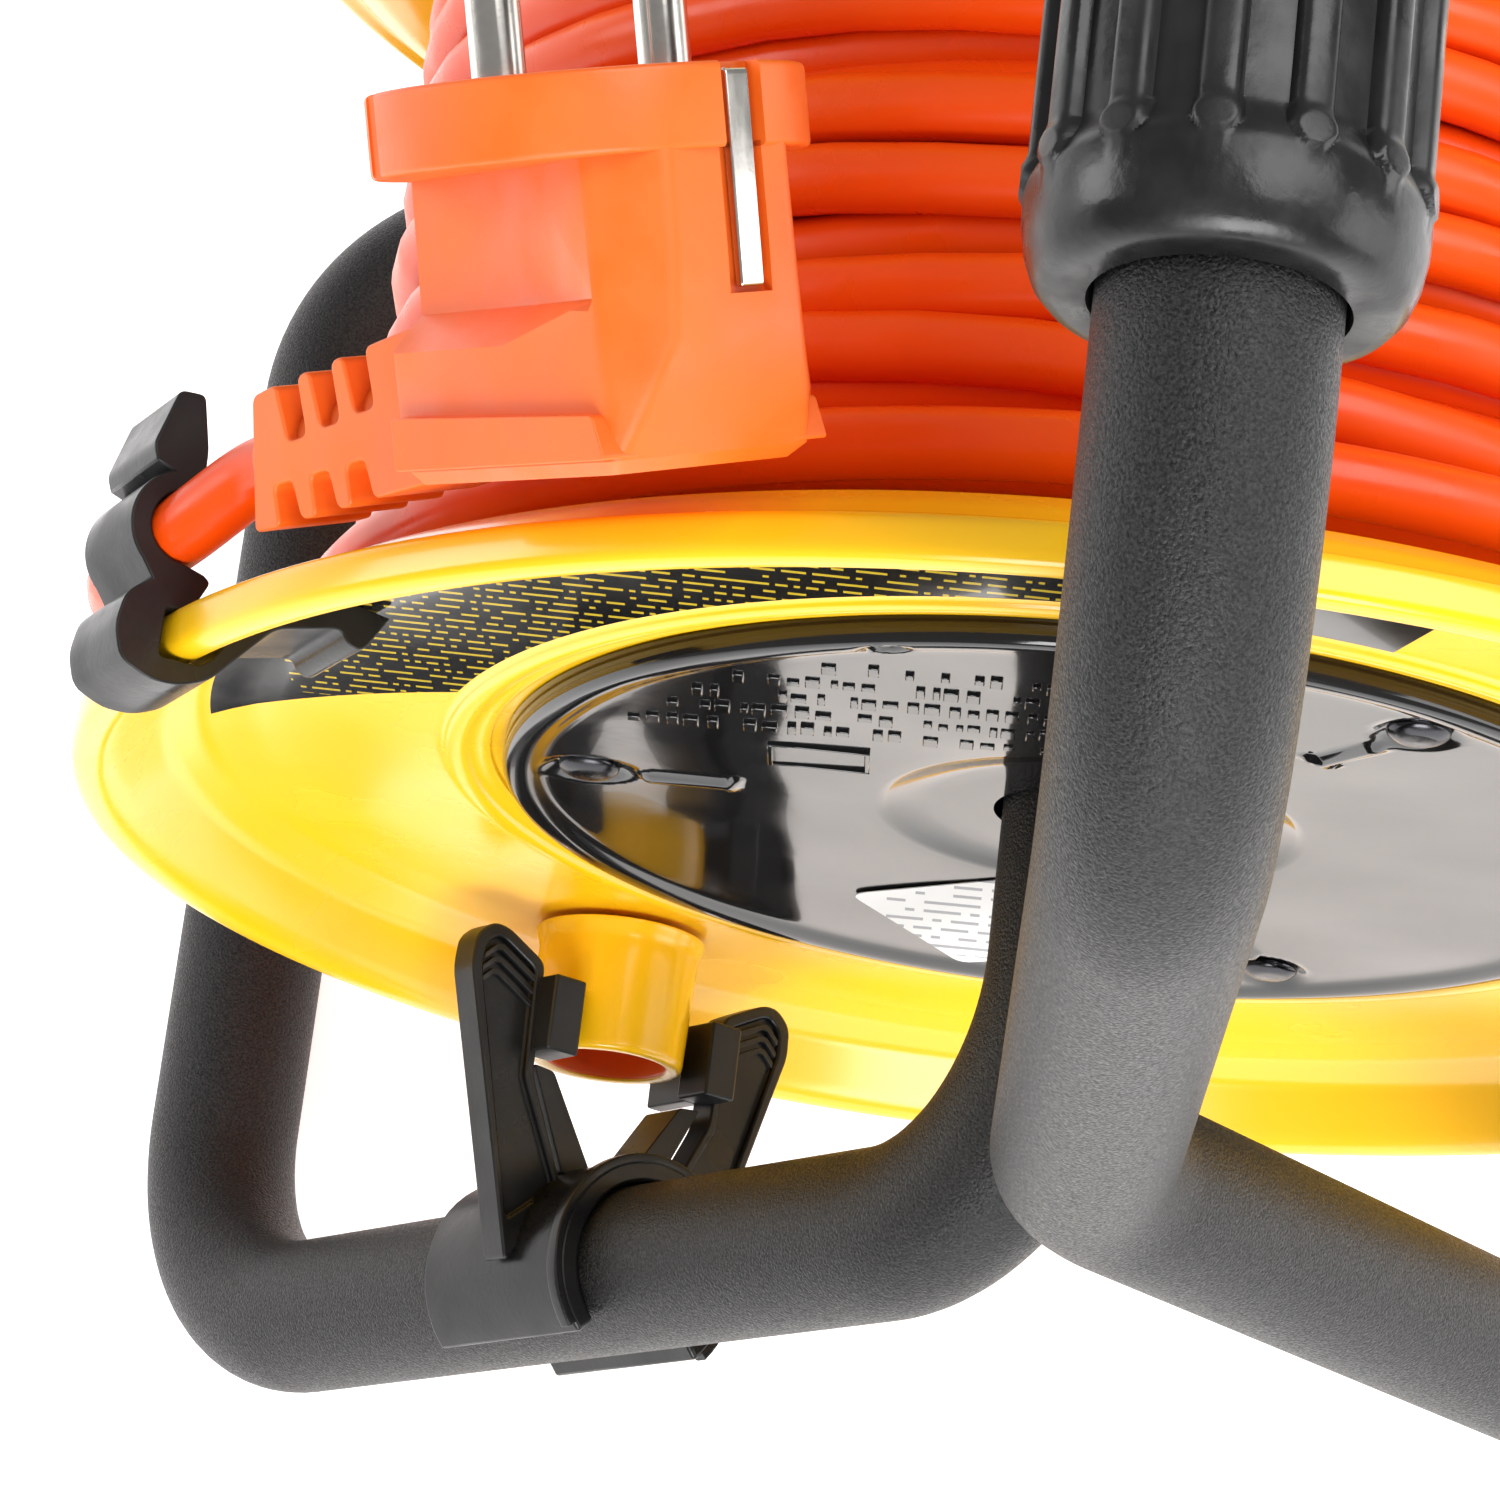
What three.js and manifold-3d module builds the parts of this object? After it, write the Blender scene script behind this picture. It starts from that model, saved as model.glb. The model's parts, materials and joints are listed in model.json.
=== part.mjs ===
// Extension cord reel: a cantilevered drum on one bent tubular frame, with the
// cord wound on the drum, the plug parked on the winding and a four-socket panel
// in the front flange.
//
// Millimetres, +Z up, +Y from the knob side (rear) to the socket side (front).
// The origin is on the floor under the middle of the object.

import * as THREE from 'three';
import { mergeVertices } from 'three/addons/utils/BufferGeometryUtils.js';
import Module from 'manifold-3d';

const wasm = await Module();
wasm.setup();

// ---------------------------------------------------------------- dimensions

const GAP = 0.3;                  // clearance between pieces that touch

// Frame
const TUBE_R = 10;                // Ø20 steel tube
const TUBE_WALL = 1.5;
const TUBE_SIDES = 16;
const FLOOR_Z = TUBE_R * Math.cos(Math.PI / TUBE_SIDES);  // axis of the floor runs
const FOOT_X = 111;               // half distance between the two floor runs
const HANDLE_Z = 306;             // height of the handle axis
const HANDLE_BEND = 35;
const BASE_BEND = 28;
const ARM_Y = -33;                // arm plane, from the rear rim plane
const UPRIGHT_FOOT_Z = 165;       // where the right arm turns into the upright
const FRONT_TUBE_Y = 128;
const HANDLE_END_Y = 118;
const AXLE_END_Y = 66;

// Drum, along its axle from the rear rim plane
const HUB_X = -2;
const RIM_Y = -47.5;
const HUB_Z = 142;
const RIM_R = 110;
const RIM_WIDTH = 4;
const DISH = 10.5;                // depth of the flange face behind the rim
const DRUM_LENGTH = 123.5;
const BARREL_R = 60;
const BARREL_WALL = 2.5;
const SPLIT_Y = 64;
const FLANGE_WALL = 3;
const COVER_R = 64.7;
const SLEEVE_R = 12.3;
const DRUM_SIDES = 40;

// Crank knob and its lock
const KNOB_RADIUS_AT = 85.6;      // distance of the knob from the axle
const KNOB_ANGLE = 219.5;         // clockwise from straight up, seen from the rear
const KNOB_R = 9.4;
const KNOB_TOP_Y = -6.7;
const LOCK_LENGTH = 28;
const PRONG_LENGTH = 13;

// Cord
const CORD_R = 3.5;
const WIND_R = 84.5;

// Sockets
const SOCKET_AT = 33.2;
const SOCKET_COUNT = 4;
const RECESS_R = 19.9;
const RECESS_DEPTH = 15;
const PIN_R = 2.4;
const PIN_HALF_PITCH = 9.5;
const PANEL_Y = 116.3;            // front face of the socket panel
const LID_R = 22.3;

// Plug
const PLUG_AT = [-53.9, 38.4, 117.2];  // front face centre, in the drum's axes
const PLUG_YAW = 11.6;
const PLUG_PITCH = 22.4;
const PLUG_ROLL = 50.1;
const COLLAR_R = 19.5;
const COLLAR_DEPTH = 7.4;

// ----------------------------------------------------------------- materials

const look = (color, roughness, metalness = 0) =>
  new THREE.MeshStandardMaterial({ color, roughness, metalness });
const BLACK_STEEL = look(0x26272a, 0.6, 0.3);
const RUBBER = look(0x1d1d1f, 0.55);
const YELLOW = look(0xf7c21a, 0.3);
const BLACK_GLOSS = look(0x0f1012, 0.2);
const BLACK_PLASTIC = look(0x202123, 0.5);
const ORANGE = look(0xf2571c, 0.4);
const STEEL = look(0xc4c6c8, 0.3, 1);
const BRASS = look(0xc9a24a, 0.35, 1);
const RED = look(0xc81e1e, 0.4);

// ------------------------------------------------------------------- helpers

const rad = THREE.MathUtils.degToRad;
const reel = new THREE.Group();
const drum = new THREE.Group();
drum.position.set(HUB_X, RIM_Y, HUB_Z);
reel.add(drum);

// A closed geometry with shared vertices and its faces pointing out.
function closed(geometry) {
  let g = geometry.clone();
  for (const name of Object.keys(g.attributes)) {
    if (name !== 'position') g.deleteAttribute(name);
  }
  g = mergeVertices(g, 1e-4);
  const p = g.attributes.position;
  const source = g.index.array;
  const kept = [];
  let volume = 0;
  const v = [new THREE.Vector3(), new THREE.Vector3(), new THREE.Vector3()];
  for (let i = 0; i < source.length; i += 3) {
    const [a, b, c] = [source[i], source[i + 1], source[i + 2]];
    if (a === b || b === c || a === c) continue;
    kept.push(a, b, c);
    [a, b, c].forEach((n, k) => v[k].fromBufferAttribute(p, n));
    volume += v[0].dot(v[1].cross(v[2]));
  }
  if (volume < 0) kept.reverse();
  g.setIndex(kept);
  return g;
}

function toManifold(geometry) {
  const g = closed(geometry);
  return new wasm.Manifold(new wasm.Mesh({
    numProp: 3,
    vertProperties: new Float32Array(g.attributes.position.array),
    triVerts: new Uint32Array(g.index.array),
  }));
}

function fromManifold(solid) {
  const mesh = solid.getMesh();
  const g = new THREE.BufferGeometry();
  g.setAttribute('position', new THREE.BufferAttribute(new Float32Array(mesh.vertProperties), 3));
  g.setIndex(new THREE.BufferAttribute(new Uint32Array(mesh.triVerts), 1));
  return g;
}

// One body from the pieces in `add`, less the pieces in `cut`.
function combine(add, cut = []) {
  let solid = toManifold(add[0]);
  for (const g of add.slice(1)) solid = solid.add(toManifold(g));
  for (const g of cut) solid = solid.subtract(toManifold(g));
  return fromManifold(solid);
}

function part(name, geometry, material, parent = reel) {
  const mesh = new THREE.Mesh(closed(geometry), material);
  mesh.name = name;
  parent.add(mesh);
  return mesh;
}

const at = (g, x, y, z) => g.clone().translate(x, y, z);

// A body of revolution about Y from [radius, y] pairs, closed on itself or the axis.
function turned(profile, segments) {
  const points = profile.map(([r, y]) => new THREE.Vector2(r, y));
  const onAxis = profile[0][0] === 0 && profile[profile.length - 1][0] === 0;
  if (!onAxis) points.push(points[0].clone());
  return new THREE.LatheGeometry(points, segments);
}

function rod(r, y0, y1, segments = 8) {
  return turned([[0, y0], [r, y0], [r, y1], [0, y1]], segments);
}

function pipe(outer, inner, y0, y1, segments = 16) {
  return turned([[inner, y0], [outer, y0], [outer, y1], [inner, y1]], segments);
}

function box(x0, x1, y0, y1, z0, z1) {
  return new THREE.BoxGeometry(x1 - x0, y1 - y0, z1 - z0)
    .translate((x0 + x1) / 2, (y0 + y1) / 2, (z0 + z1) / 2);
}

// A plate of the outline [x, y] pairs, `depth` thick and centred on z = 0.
function plate(outline, depth) {
  const shape = new THREE.Shape(outline.map(([x, y]) => new THREE.Vector2(x, y)));
  return new THREE.ExtrudeGeometry(shape, { depth, bevelEnabled: false })
    .translate(0, 0, -depth / 2);
}

// Places [x, z] at an angle clockwise from straight up and a distance from the axle.
const around = (angle, r) => [r * Math.sin(rad(angle)), r * Math.cos(rad(angle))];

// A polyline with rounded corners whose stations crowd in the bends, so that a
// sweep along it has one step for each straight and a few for each bend.
class BentPath extends THREE.Curve {
  constructor(corners, radii, stepsPerBend) {
    super();
    const pts = corners.map((c) => new THREE.Vector3(...c));
    this.stations = [{ p: pts[0], t: pts[1].clone().sub(pts[0]).normalize() }];
    for (let i = 1; i < pts.length - 1; i += 1) {
      const a = pts[i].clone().sub(pts[i - 1]).normalize();
      const b = pts[i + 1].clone().sub(pts[i]).normalize();
      const turn = a.angleTo(b);
      const reach = radii[i - 1] * Math.tan(turn / 2);
      const start = pts[i].clone().addScaledVector(a, -reach);
      const side = b.clone().addScaledVector(a, -a.dot(b)).normalize();
      for (let k = 0; k <= stepsPerBend; k += 1) {
        const w = (turn * k) / stepsPerBend;
        const p = start.clone()
          .addScaledVector(a, radii[i - 1] * Math.sin(w))
          .addScaledVector(side, radii[i - 1] * (1 - Math.cos(w)));
        const t = a.clone().multiplyScalar(Math.cos(w)).addScaledVector(side, Math.sin(w));
        this.stations.push({ p, t });
      }
    }
    const last = pts[pts.length - 1];
    this.stations.push({ p: last, t: last.clone().sub(pts[pts.length - 2]).normalize() });
  }
  get steps() {
    return this.stations.length - 1;
  }
  station(u) {
    return this.stations[Math.round(u * this.steps)];
  }
  getPointAt(u, target = new THREE.Vector3()) {
    return target.copy(this.station(u).p);
  }
  getTangentAt(u, target = new THREE.Vector3()) {
    return target.copy(this.station(u).t);
  }
  // Frames carried along the path without twist, starting upright
  computeFrenetFrames() {
    const tangents = this.stations.map((s) => s.t.clone());
    const normals = [new THREE.Vector3(0, 0, 1)];
    for (let i = 1; i < tangents.length; i += 1) {
      const spin = new THREE.Quaternion().setFromUnitVectors(tangents[i - 1], tangents[i]);
      normals.push(normals[i - 1].clone().applyQuaternion(spin));
    }
    const binormals = tangents.map((t, i) => t.clone().cross(normals[i]));
    return { tangents, normals, binormals };
  }
}

function ring(radius, sides) {
  const pts = [];
  for (let i = 0; i < sides; i += 1) {
    const w = (2 * Math.PI * (i + 0.5)) / sides;
    pts.push(new THREE.Vector2(radius * Math.cos(w), radius * Math.sin(w)));
  }
  return pts;
}

function bentTube(corners, radii, stepsPerBend = 5) {
  const path = new BentPath(corners, radii, stepsPerBend);
  const section = new THREE.Shape(ring(TUBE_R, TUBE_SIDES));
  section.holes.push(new THREE.Path(ring(TUBE_R - TUBE_WALL, 8)));
  return new THREE.ExtrudeGeometry(section, { extrudePath: path, steps: path.steps, curveSegments: 1 });
}

// --------------------------------------------------------------------- frame

const armY = RIM_Y + ARM_Y;
const frontY = RIM_Y + FRONT_TUBE_Y;
const SEAM_HALF_GAP = 0.15;

function buildFrame() {
  part('frame_tube_left', bentTube(
    [
      [-SEAM_HALF_GAP, frontY, FLOOR_Z],
      [-FOOT_X, frontY, FLOOR_Z],
      [-FOOT_X, armY, FLOOR_Z],
      [HUB_X, armY, HUB_Z],
      [HUB_X, RIM_Y + AXLE_END_Y, HUB_Z],
    ],
    [BASE_BEND, BASE_BEND, BASE_BEND],
  ), BLACK_STEEL);
  part('frame_tube_right', bentTube(
    [
      [SEAM_HALF_GAP, frontY, FLOOR_Z],
      [FOOT_X, frontY, FLOOR_Z],
      [FOOT_X, armY, FLOOR_Z],
      [0, armY, UPRIGHT_FOOT_Z],
      [0, armY, HANDLE_Z],
      [0, RIM_Y + HANDLE_END_Y, HANDLE_Z],
    ],
    [BASE_BEND, BASE_BEND, BASE_BEND, HANDLE_BEND],
  ), BLACK_STEEL);
  // Spigot that joins the two tubes in the middle of the front run
  const joiner = rod(TUBE_R - TUBE_WALL - 1.1, -24, 24, 8).rotateZ(Math.PI / 2);
  part('tube_joiner', at(joiner, 0, frontY, FLOOR_Z), STEEL);
}

// Rubber grip, closed at the front end, on the free end of the handle
const GRIP_START = 3;
const GRIP_END = 126;
const GRIP_R = 16;
function buildGrip() {
  const bore = TUBE_R + GAP;
  const tip = HANDLE_END_Y + 3;
  const profile = [
    [bore, GRIP_START], [GRIP_R - 1.5, GRIP_START + 0.5], [GRIP_R, GRIP_START + 6],
    [GRIP_R, GRIP_END - 5], [GRIP_R - 1.5, GRIP_END - 1.5], [GRIP_R - 5, GRIP_END],
    [0, GRIP_END], [0, tip], [bore, tip],
  ];
  const points = profile.map(([r, y]) => new THREE.Vector2(r, y));
  points.push(points[0].clone());
  const grip = new THREE.LatheGeometry(points, 20);
  part('handle_grip', at(grip, 0, RIM_Y, HANDLE_Z), RUBBER);
  const cap = turned([
    [0, HANDLE_END_Y - 14], [7.4, HANDLE_END_Y - 14], [7.4, HANDLE_END_Y + GAP],
    [9.5, HANDLE_END_Y + GAP], [9.5, HANDLE_END_Y + 2.5], [0, HANDLE_END_Y + 2.5],
  ], 12);
  part('handle_tube_cap', at(cap, 0, RIM_Y, HANDLE_Z), BLACK_PLASTIC);
}

// ---------------------------------------------------------------------- drum

const BOSS_AT = 51.5;
const BOSS_ANGLES = [45, 135, 225, 315];
const COVER_SCREW_AT = 55.3;
const COVER_SCREW_ANGLES = [274, 34, 154];
const GLAND_Y = 31;
const WEB_Y = 18;
const faceY = DISH;                       // rear face of the rear flange
const windY = DISH + FLANGE_WALL;         // first plane of the winding space
const frontFaceY = DRUM_LENGTH - DISH;
const frontWindY = frontFaceY - FLANGE_WALL;
const innerR = BARREL_R - BARREL_WALL;
const knobXZ = around(KNOB_ANGLE, KNOB_RADIUS_AT);

// Rim and dished flange ring, from the rim inwards
const rimProfile = [
  [RIM_R, 0.8], [RIM_R - 0.8, 0], [RIM_R - 3.5, 0], [RIM_R - 4.7, 1.2],
  [RIM_R - 8.5, 7.6], [RIM_R - 13, faceY - 0.5], [RIM_R - 18, faceY],
];
// The winding side of the same flange, from the barrel outwards
const windProfile = [
  [BARREL_R, windY], [RIM_R - 17.5, windY], [RIM_R - 12, windY - 0.9],
  [RIM_R - 6.4, 9.2], [RIM_R - 3.2, RIM_WIDTH], [RIM_R, RIM_WIDTH],
];

function radialHole(r, y, from, to) {
  return rod(r, from, to, 16).rotateX(Math.PI / 2).translate(0, y, 0).rotateY(Math.PI);
}

function buildRearDrum() {
  const body = turned([
    ...rimProfile,
    [66.2, faceY], [66.2, 11.5], [innerR, 11.5], [innerR, WEB_Y], [SLEEVE_R + 2.6, WEB_Y],
    [SLEEVE_R + 2.6, 15.6], [SLEEVE_R, 15.6], [SLEEVE_R, 62], [SLEEVE_R + 2.6, 62],
    [SLEEVE_R + 2.6, WEB_Y + 2.5], [innerR, WEB_Y + 2.5], [innerR, SPLIT_Y], [BARREL_R, SPLIT_Y],
    ...windProfile,
  ], DRUM_SIDES);
  const add = [body];
  const cut = [radialHole(6.5, GLAND_Y, 40, 70)];
  for (const angle of BOSS_ANGLES) {
    const [x, z] = around(angle, BOSS_AT);
    add.push(at(rod(6.5, WEB_Y + 1, SPLIT_Y), x, 0, z));
    cut.push(at(rod(2.4, WEB_Y - 5, SPLIT_Y + 5), x, 0, z));
    cut.push(at(rod(4.3, WEB_Y - 5, WEB_Y + 4), x, 0, z));
  }
  for (const angle of COVER_SCREW_ANGLES) {
    const [x, z] = around(angle, COVER_SCREW_AT);
    add.push(at(rod(4.5, 10.9, WEB_Y + 1), x, 0, z));
    cut.push(at(rod(1.9, 5, WEB_Y + 0.6), x, 0, z));
  }
  const [kx, kz] = knobXZ;
  add.push(at(rod(5.3, 2.9, faceY + 1, 16), kx, 0, kz));
  cut.push(at(rod(3.1, 0, 20, 12), kx, 0, kz));
  part('drum_rear', combine(add, cut), YELLOW, drum);
}

function buildFrontDrum() {
  const mirror = ([r, y]) => [r, DRUM_LENGTH - y];
  const start = SPLIT_Y + GAP;
  const body = turned([
    ...rimProfile.map(mirror),
    [67.2, frontFaceY], [67.2, frontFaceY - 0.6], [innerR, frontFaceY - 0.6],
    [innerR, start], [BARREL_R, start],
    ...windProfile.map(mirror),
  ], DRUM_SIDES);
  const add = [body];
  const cut = [];
  for (const angle of BOSS_ANGLES) {
    const [x, z] = around(angle, BOSS_AT);
    add.push(at(rod(6.5, start, start + 18), x, 0, z));
    cut.push(at(rod(2.1, start - 5, start + 14), x, 0, z));
  }
  for (const angle of PANEL_SCREW_ANGLES) {
    const [x, z] = around(angle, PANEL_SCREW_AT);
    add.push(at(rod(4.5, frontFaceY - 16, frontFaceY - 0.6), x, 0, z));
    cut.push(at(rod(1.9, frontFaceY - 12, frontFaceY + 5), x, 0, z));
  }
  part('drum_front', combine(add, cut), YELLOW, drum);
}

// Long screws that hold the two drum halves together, heads in the rear half
function buildDrumScrews() {
  BOSS_ANGLES.forEach((angle, i) => {
    const [x, z] = around(angle, BOSS_AT);
    const screw = turned([
      [0, WEB_Y - 0.4], [3.8, WEB_Y - 0.4], [3.8, WEB_Y + 3.6], [1.75, WEB_Y + 3.6],
      [1.75, SPLIT_Y + 12], [0, SPLIT_Y + 13.5],
    ], 8);
    part(`drum_screw_${i + 1}`, at(screw, x, 0, z), STEEL, drum);
  });
}

// Shallow glossy cap over the rear of the hub, with a funnel round the axle
function buildRearCover() {
  const cap = turned([
    [COVER_R, 11.2], [COVER_R, 8.9], [COVER_R - 0.7, 8.3], [23, 10.2], [14.6, 13.8],
    [10.8, 14.0], [10.8, 15.2], [15.2, 15.2], [24, 11.6], [COVER_R - 2.2, 10.2],
    [COVER_R - 2.2, 11.2],
  ], DRUM_SIDES);
  const holes = COVER_SCREW_ANGLES.map((angle) => {
    const [x, z] = around(angle, COVER_SCREW_AT);
    return at(rod(2.2, 0, 20), x, 0, z);
  });
  part('rear_cover', combine([cap], holes), BLACK_GLOSS, drum);
  COVER_SCREW_ANGLES.forEach((angle, i) => {
    const [x, z] = around(angle, COVER_SCREW_AT);
    const screw = turned([
      [0, 6.9], [2.6, 6.9], [3.5, 7.7], [3.5, 8.1], [1.6, 8.1], [1.6, 17], [0, 18],
    ], 8);
    part(`cover_screw_${i + 1}`, at(screw, x, 0, z), STEEL, drum);
  });
}

// Bush between the drum's sleeve and the axle, thrust washer, and the cap that
// keeps the drum on the axle's end
function buildBearing() {
  part('hub_bush', pipe(SLEEVE_R - GAP, TUBE_R + 0.3, 15.8, 62, 24), BLACK_PLASTIC, drum);
  part('thrust_washer', pipe(18, TUBE_R + 0.4, 62.5, 64.5), STEEL, drum);
  const cap = turned([
    [2.4, AXLE_END_Y - 14], [7.2, AXLE_END_Y - 14], [7.2, AXLE_END_Y + GAP],
    [15, AXLE_END_Y + GAP], [15, AXLE_END_Y + 3], [2.4, AXLE_END_Y + 3],
  ], 16);
  part('axle_cap', at(cap, HUB_X, RIM_Y, HUB_Z), BLACK_PLASTIC);
  const screw = turned([
    [0, AXLE_END_Y - 12], [2, AXLE_END_Y - 12], [2, AXLE_END_Y + 3.3],
    [4.5, AXLE_END_Y + 3.3], [4, AXLE_END_Y + 5.5], [0, AXLE_END_Y + 5.8],
  ], 8);
  part('axle_screw', at(screw, HUB_X, RIM_Y, HUB_Z), STEEL);
}

// Hollow winding knob that turns on the flange's spigot, and the rivet that holds it
function buildKnob() {
  const [kx, kz] = knobXZ;
  const knob = turned([
    [7.5, KNOB_TOP_Y], [KNOB_R - 0.6, KNOB_TOP_Y], [KNOB_R, KNOB_TOP_Y + 0.6],
    [KNOB_R + 0.5, 7.8], [KNOB_R + 1.1, 8.9], [KNOB_R + 1.1, 9.6], [5.6, 9.6],
    [5.6, 2.9], [7.5, 2.9],
  ], 20);
  part('crank_knob', at(knob, kx, 0, kz), YELLOW, drum);
  const rivet = turned([
    [0, 0.8], [5.8, 0.8], [7.1, 1.6], [7.1, 2.6], [2.7, 2.6], [2.7, 13.2], [0, 13.2],
  ], 16);
  part('knob_rivet', at(rivet, kx, 0, kz), ORANGE, drum);
}

// ---------------------------------------------------------------- drum lock

// Sliding fork on the left arm. Its own axes are x across the arm, y as the
// object's, and z along the arm towards the hub.
function buildDrumLock() {
  const lock = new THREE.Group();
  const arm = new THREE.Vector3(FOOT_X + HUB_X, 0, HUB_Z - FLOOR_Z).normalize();
  const across = new THREE.Vector3(arm.z, 0, -arm.x);
  const basis = new THREE.Matrix4().makeBasis(across, new THREE.Vector3(0, 1, 0), arm);
  lock.quaternion.setFromRotationMatrix(basis);
  lock.position.set(HUB_X, armY, HUB_Z).addScaledVector(arm, -KNOB_RADIUS_AT);
  reel.add(lock);

  const inner = TUBE_R + GAP + 0.1;
  const outer = 12.9;
  const OPENING = 42;             // half angle of the sleeve's slot, degrees
  const outline = [];
  for (let a = OPENING; a <= 360 - OPENING + 0.1; a += 276 / 16) {
    outline.push([-outer * Math.sin(rad(a)), -outer * Math.cos(rad(a))]);
  }
  for (let a = 360 - OPENING; a >= OPENING - 0.1; a -= 276 / 16) {
    outline.push([-inner * Math.sin(rad(a)), -inner * Math.cos(rad(a))]);
  }
  const sleeve = plate(outline, LOCK_LENGTH);
  // One prong: the inner face grips the knob, the outer edge leans away from it
  const grip = KNOB_R + 1.3;
  const prong = [
    [grip, 27], [grip, 37], [grip + 2.5, 38.5], [grip + 8, 40], [grip + 11, 38],
    [grip + 10, 33], [12.4, 4], [9.5, 8.9], [3.5, 12.2], [4.5, 16], [grip - 0.2, 25],
  ];
  const mirrored = prong.map(([x, y]) => [-x, y]);
  part('drum_lock', combine([
    sleeve, plate(prong, PRONG_LENGTH), plate(mirrored, PRONG_LENGTH),
    plate([[-2, 11.8], [2, 11.8], [1.2, 17], [-1.2, 17]], PRONG_LENGTH),
  ]), BLACK_PLASTIC, lock);
}

// ----------------------------------------------------------------- cord clip

const CLIP_ANGLE = 299;
const CLIP_LENGTH = 13;
const CLIP_CORD = [109.6, 13.2];  // where the clip holds the cord: [radius, y]

// Snap clip on the rear rim. The outline is [radius, y].
function buildCordClip() {
  const [cr, cy] = CLIP_CORD;
  const outer = 6.4;
  const arc = (r, from, to, count) => {
    const pts = [];
    for (let i = 0; i <= count; i += 1) {
      const a = rad(from + ((to - from) * i) / count);
      pts.push([cr + r * Math.cos(a), cy + r * Math.sin(a)]);
    }
    return pts;
  };
  const outline = [
    [88, 8.4], [99, 5.6], [105, -1.6], [111, -3], [114.4, -1.6], [114.9, 3],
    ...arc(outer, -40, 118, 9),
    [105.6, 21.6], [103, 24.5], [100.6, 23.4], [103.4, 19.4],
    ...arc(CORD_R + 0.6, 128, -90, 9),
    [107.2, 8.6], [106.2, 8.2], [108, 4.7], [110.5, 4.7], [110.5, -0.4], [106.2, -0.4],
    [104.9, 0.8], [101.2, 7.1], [98, 8.9], [91, 10.0],
  ];
  const clip = plate(outline, CLIP_LENGTH);
  const body = part('cord_clip', clip, BLACK_PLASTIC, drum);
  body.rotation.y = rad(CLIP_ANGLE - 90);
}

// -------------------------------------------------------------- socket panel

const PANEL_R = 66.8;
const PANEL_BACK = frontFaceY - 0.3;
const PANEL_SCREW_AT = 53.5;
const PANEL_SCREW_ANGLES = [0, 90, 180, 270];
const LID_Y = PANEL_Y + 2.3;
const HINGE_AT = 24.6;            // from the socket's centre
const HINGE_Y = LID_Y + 1.5;
const KNUCKLE_R = 2.1;

function buildPanel() {
  const body = turned([
    [0, PANEL_BACK], [PANEL_R - 0.4, PANEL_BACK], [PANEL_R, PANEL_BACK + 0.8],
    [PANEL_R - 1.5, PANEL_Y], [0, PANEL_Y],
  ], DRUM_SIDES);
  const cut = [rod(5.4, 80, 140, 16)];
  const add = [body];
  for (let i = 0; i < SOCKET_COUNT; i += 1) {
    const angle = 45 + i * 90;
    const [x, z] = around(angle, SOCKET_AT);
    cut.push(at(rod(21.6, 80, 140, 24), x, 0, z));
    const lugs = hingeLugs();
    for (const lug of lugs.add) add.push(lug.rotateY(rad(angle)));
    for (const hole of lugs.cut) cut.push(hole.rotateY(rad(angle)));
  }
  for (const angle of PANEL_SCREW_ANGLES) {
    const [x, z] = around(angle, PANEL_SCREW_AT);
    cut.push(at(rod(2.2, 80, 140), x, 0, z));
  }
  part('socket_panel', combine(add, cut), BLACK_PLASTIC, drum);
  PANEL_SCREW_ANGLES.forEach((angle, i) => {
    const [x, z] = around(angle, PANEL_SCREW_AT);
    const screw = turned([
      [0, PANEL_Y - 14], [1.6, PANEL_Y - 13], [1.6, PANEL_Y + GAP], [3.6, PANEL_Y + GAP],
      [3.3, PANEL_Y + 1.6], [0, PANEL_Y + 2.2],
    ], 8);
    part(`panel_screw_${i + 1}`, at(screw, x, 0, z), STEEL, drum);
  });
}

// Two lugs on the panel carry a lid's hinge pin, for the socket straight up
function hingeLugs() {
  const z = SOCKET_AT + HINGE_AT;
  const lug = (x0, x1) => box(x0, x1, PANEL_Y - 1, HINGE_Y + 1.8, z - 1.9, z + 1.9);
  return {
    add: [lug(-11.4, -8.4), lug(8.4, 11.4)],
    cut: [at(rod(1.25, -13, 13).rotateZ(Math.PI / 2), 0, HINGE_Y, z)],
  };
}

// Socket cup with two pin holes; the earth pin is its own piece
function socketCup() {
  const lip = PANEL_Y + GAP;
  const floor = lip + 1.2 - RECESS_DEPTH;
  const cup = turned([
    [0, floor - 6], [18, floor - 6], [21.2, floor - 2], [21.2, lip], [22.4, lip],
    [22.4, lip + 1.2], [RECESS_R, lip + 1.2], [RECESS_R, floor], [0, floor],
  ], 24);
  const holes = [-1, 1].map((side) => at(rod(PIN_R + 0.5, floor - 10, 140),
    side * PIN_HALF_PITCH, 0, 0));
  holes.push(at(rod(PIN_R + 0.5, floor - 4, 140), 0, 0, 10));
  return combine([cup], holes);
}

// Round spring lid with a knuckle on its outer edge, lying closed on the cup
function lidShape() {
  const disc = turned([
    [0, LID_Y], [LID_R, LID_Y], [LID_R, LID_Y + 1.6], [LID_R - 2, LID_Y + 2.4], [0, LID_Y + 2.4],
  ], 24);
  const knuckle = at(rod(KNUCKLE_R, -7.9, 7.9).rotateZ(Math.PI / 2), 0, HINGE_Y, HINGE_AT);
  const bridge = box(-7.9, 7.9, LID_Y + 0.2, LID_Y + 2.2, LID_R - 5, HINGE_AT);
  const tab = box(-5, 5, LID_Y + 0.4, LID_Y + 2, -LID_R - 2, -LID_R + 4);
  const bore = at(rod(1.25, -13, 13).rotateZ(Math.PI / 2), 0, HINGE_Y, HINGE_AT);
  return combine([disc, knuckle, bridge, tab], [bore]);
}

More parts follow.
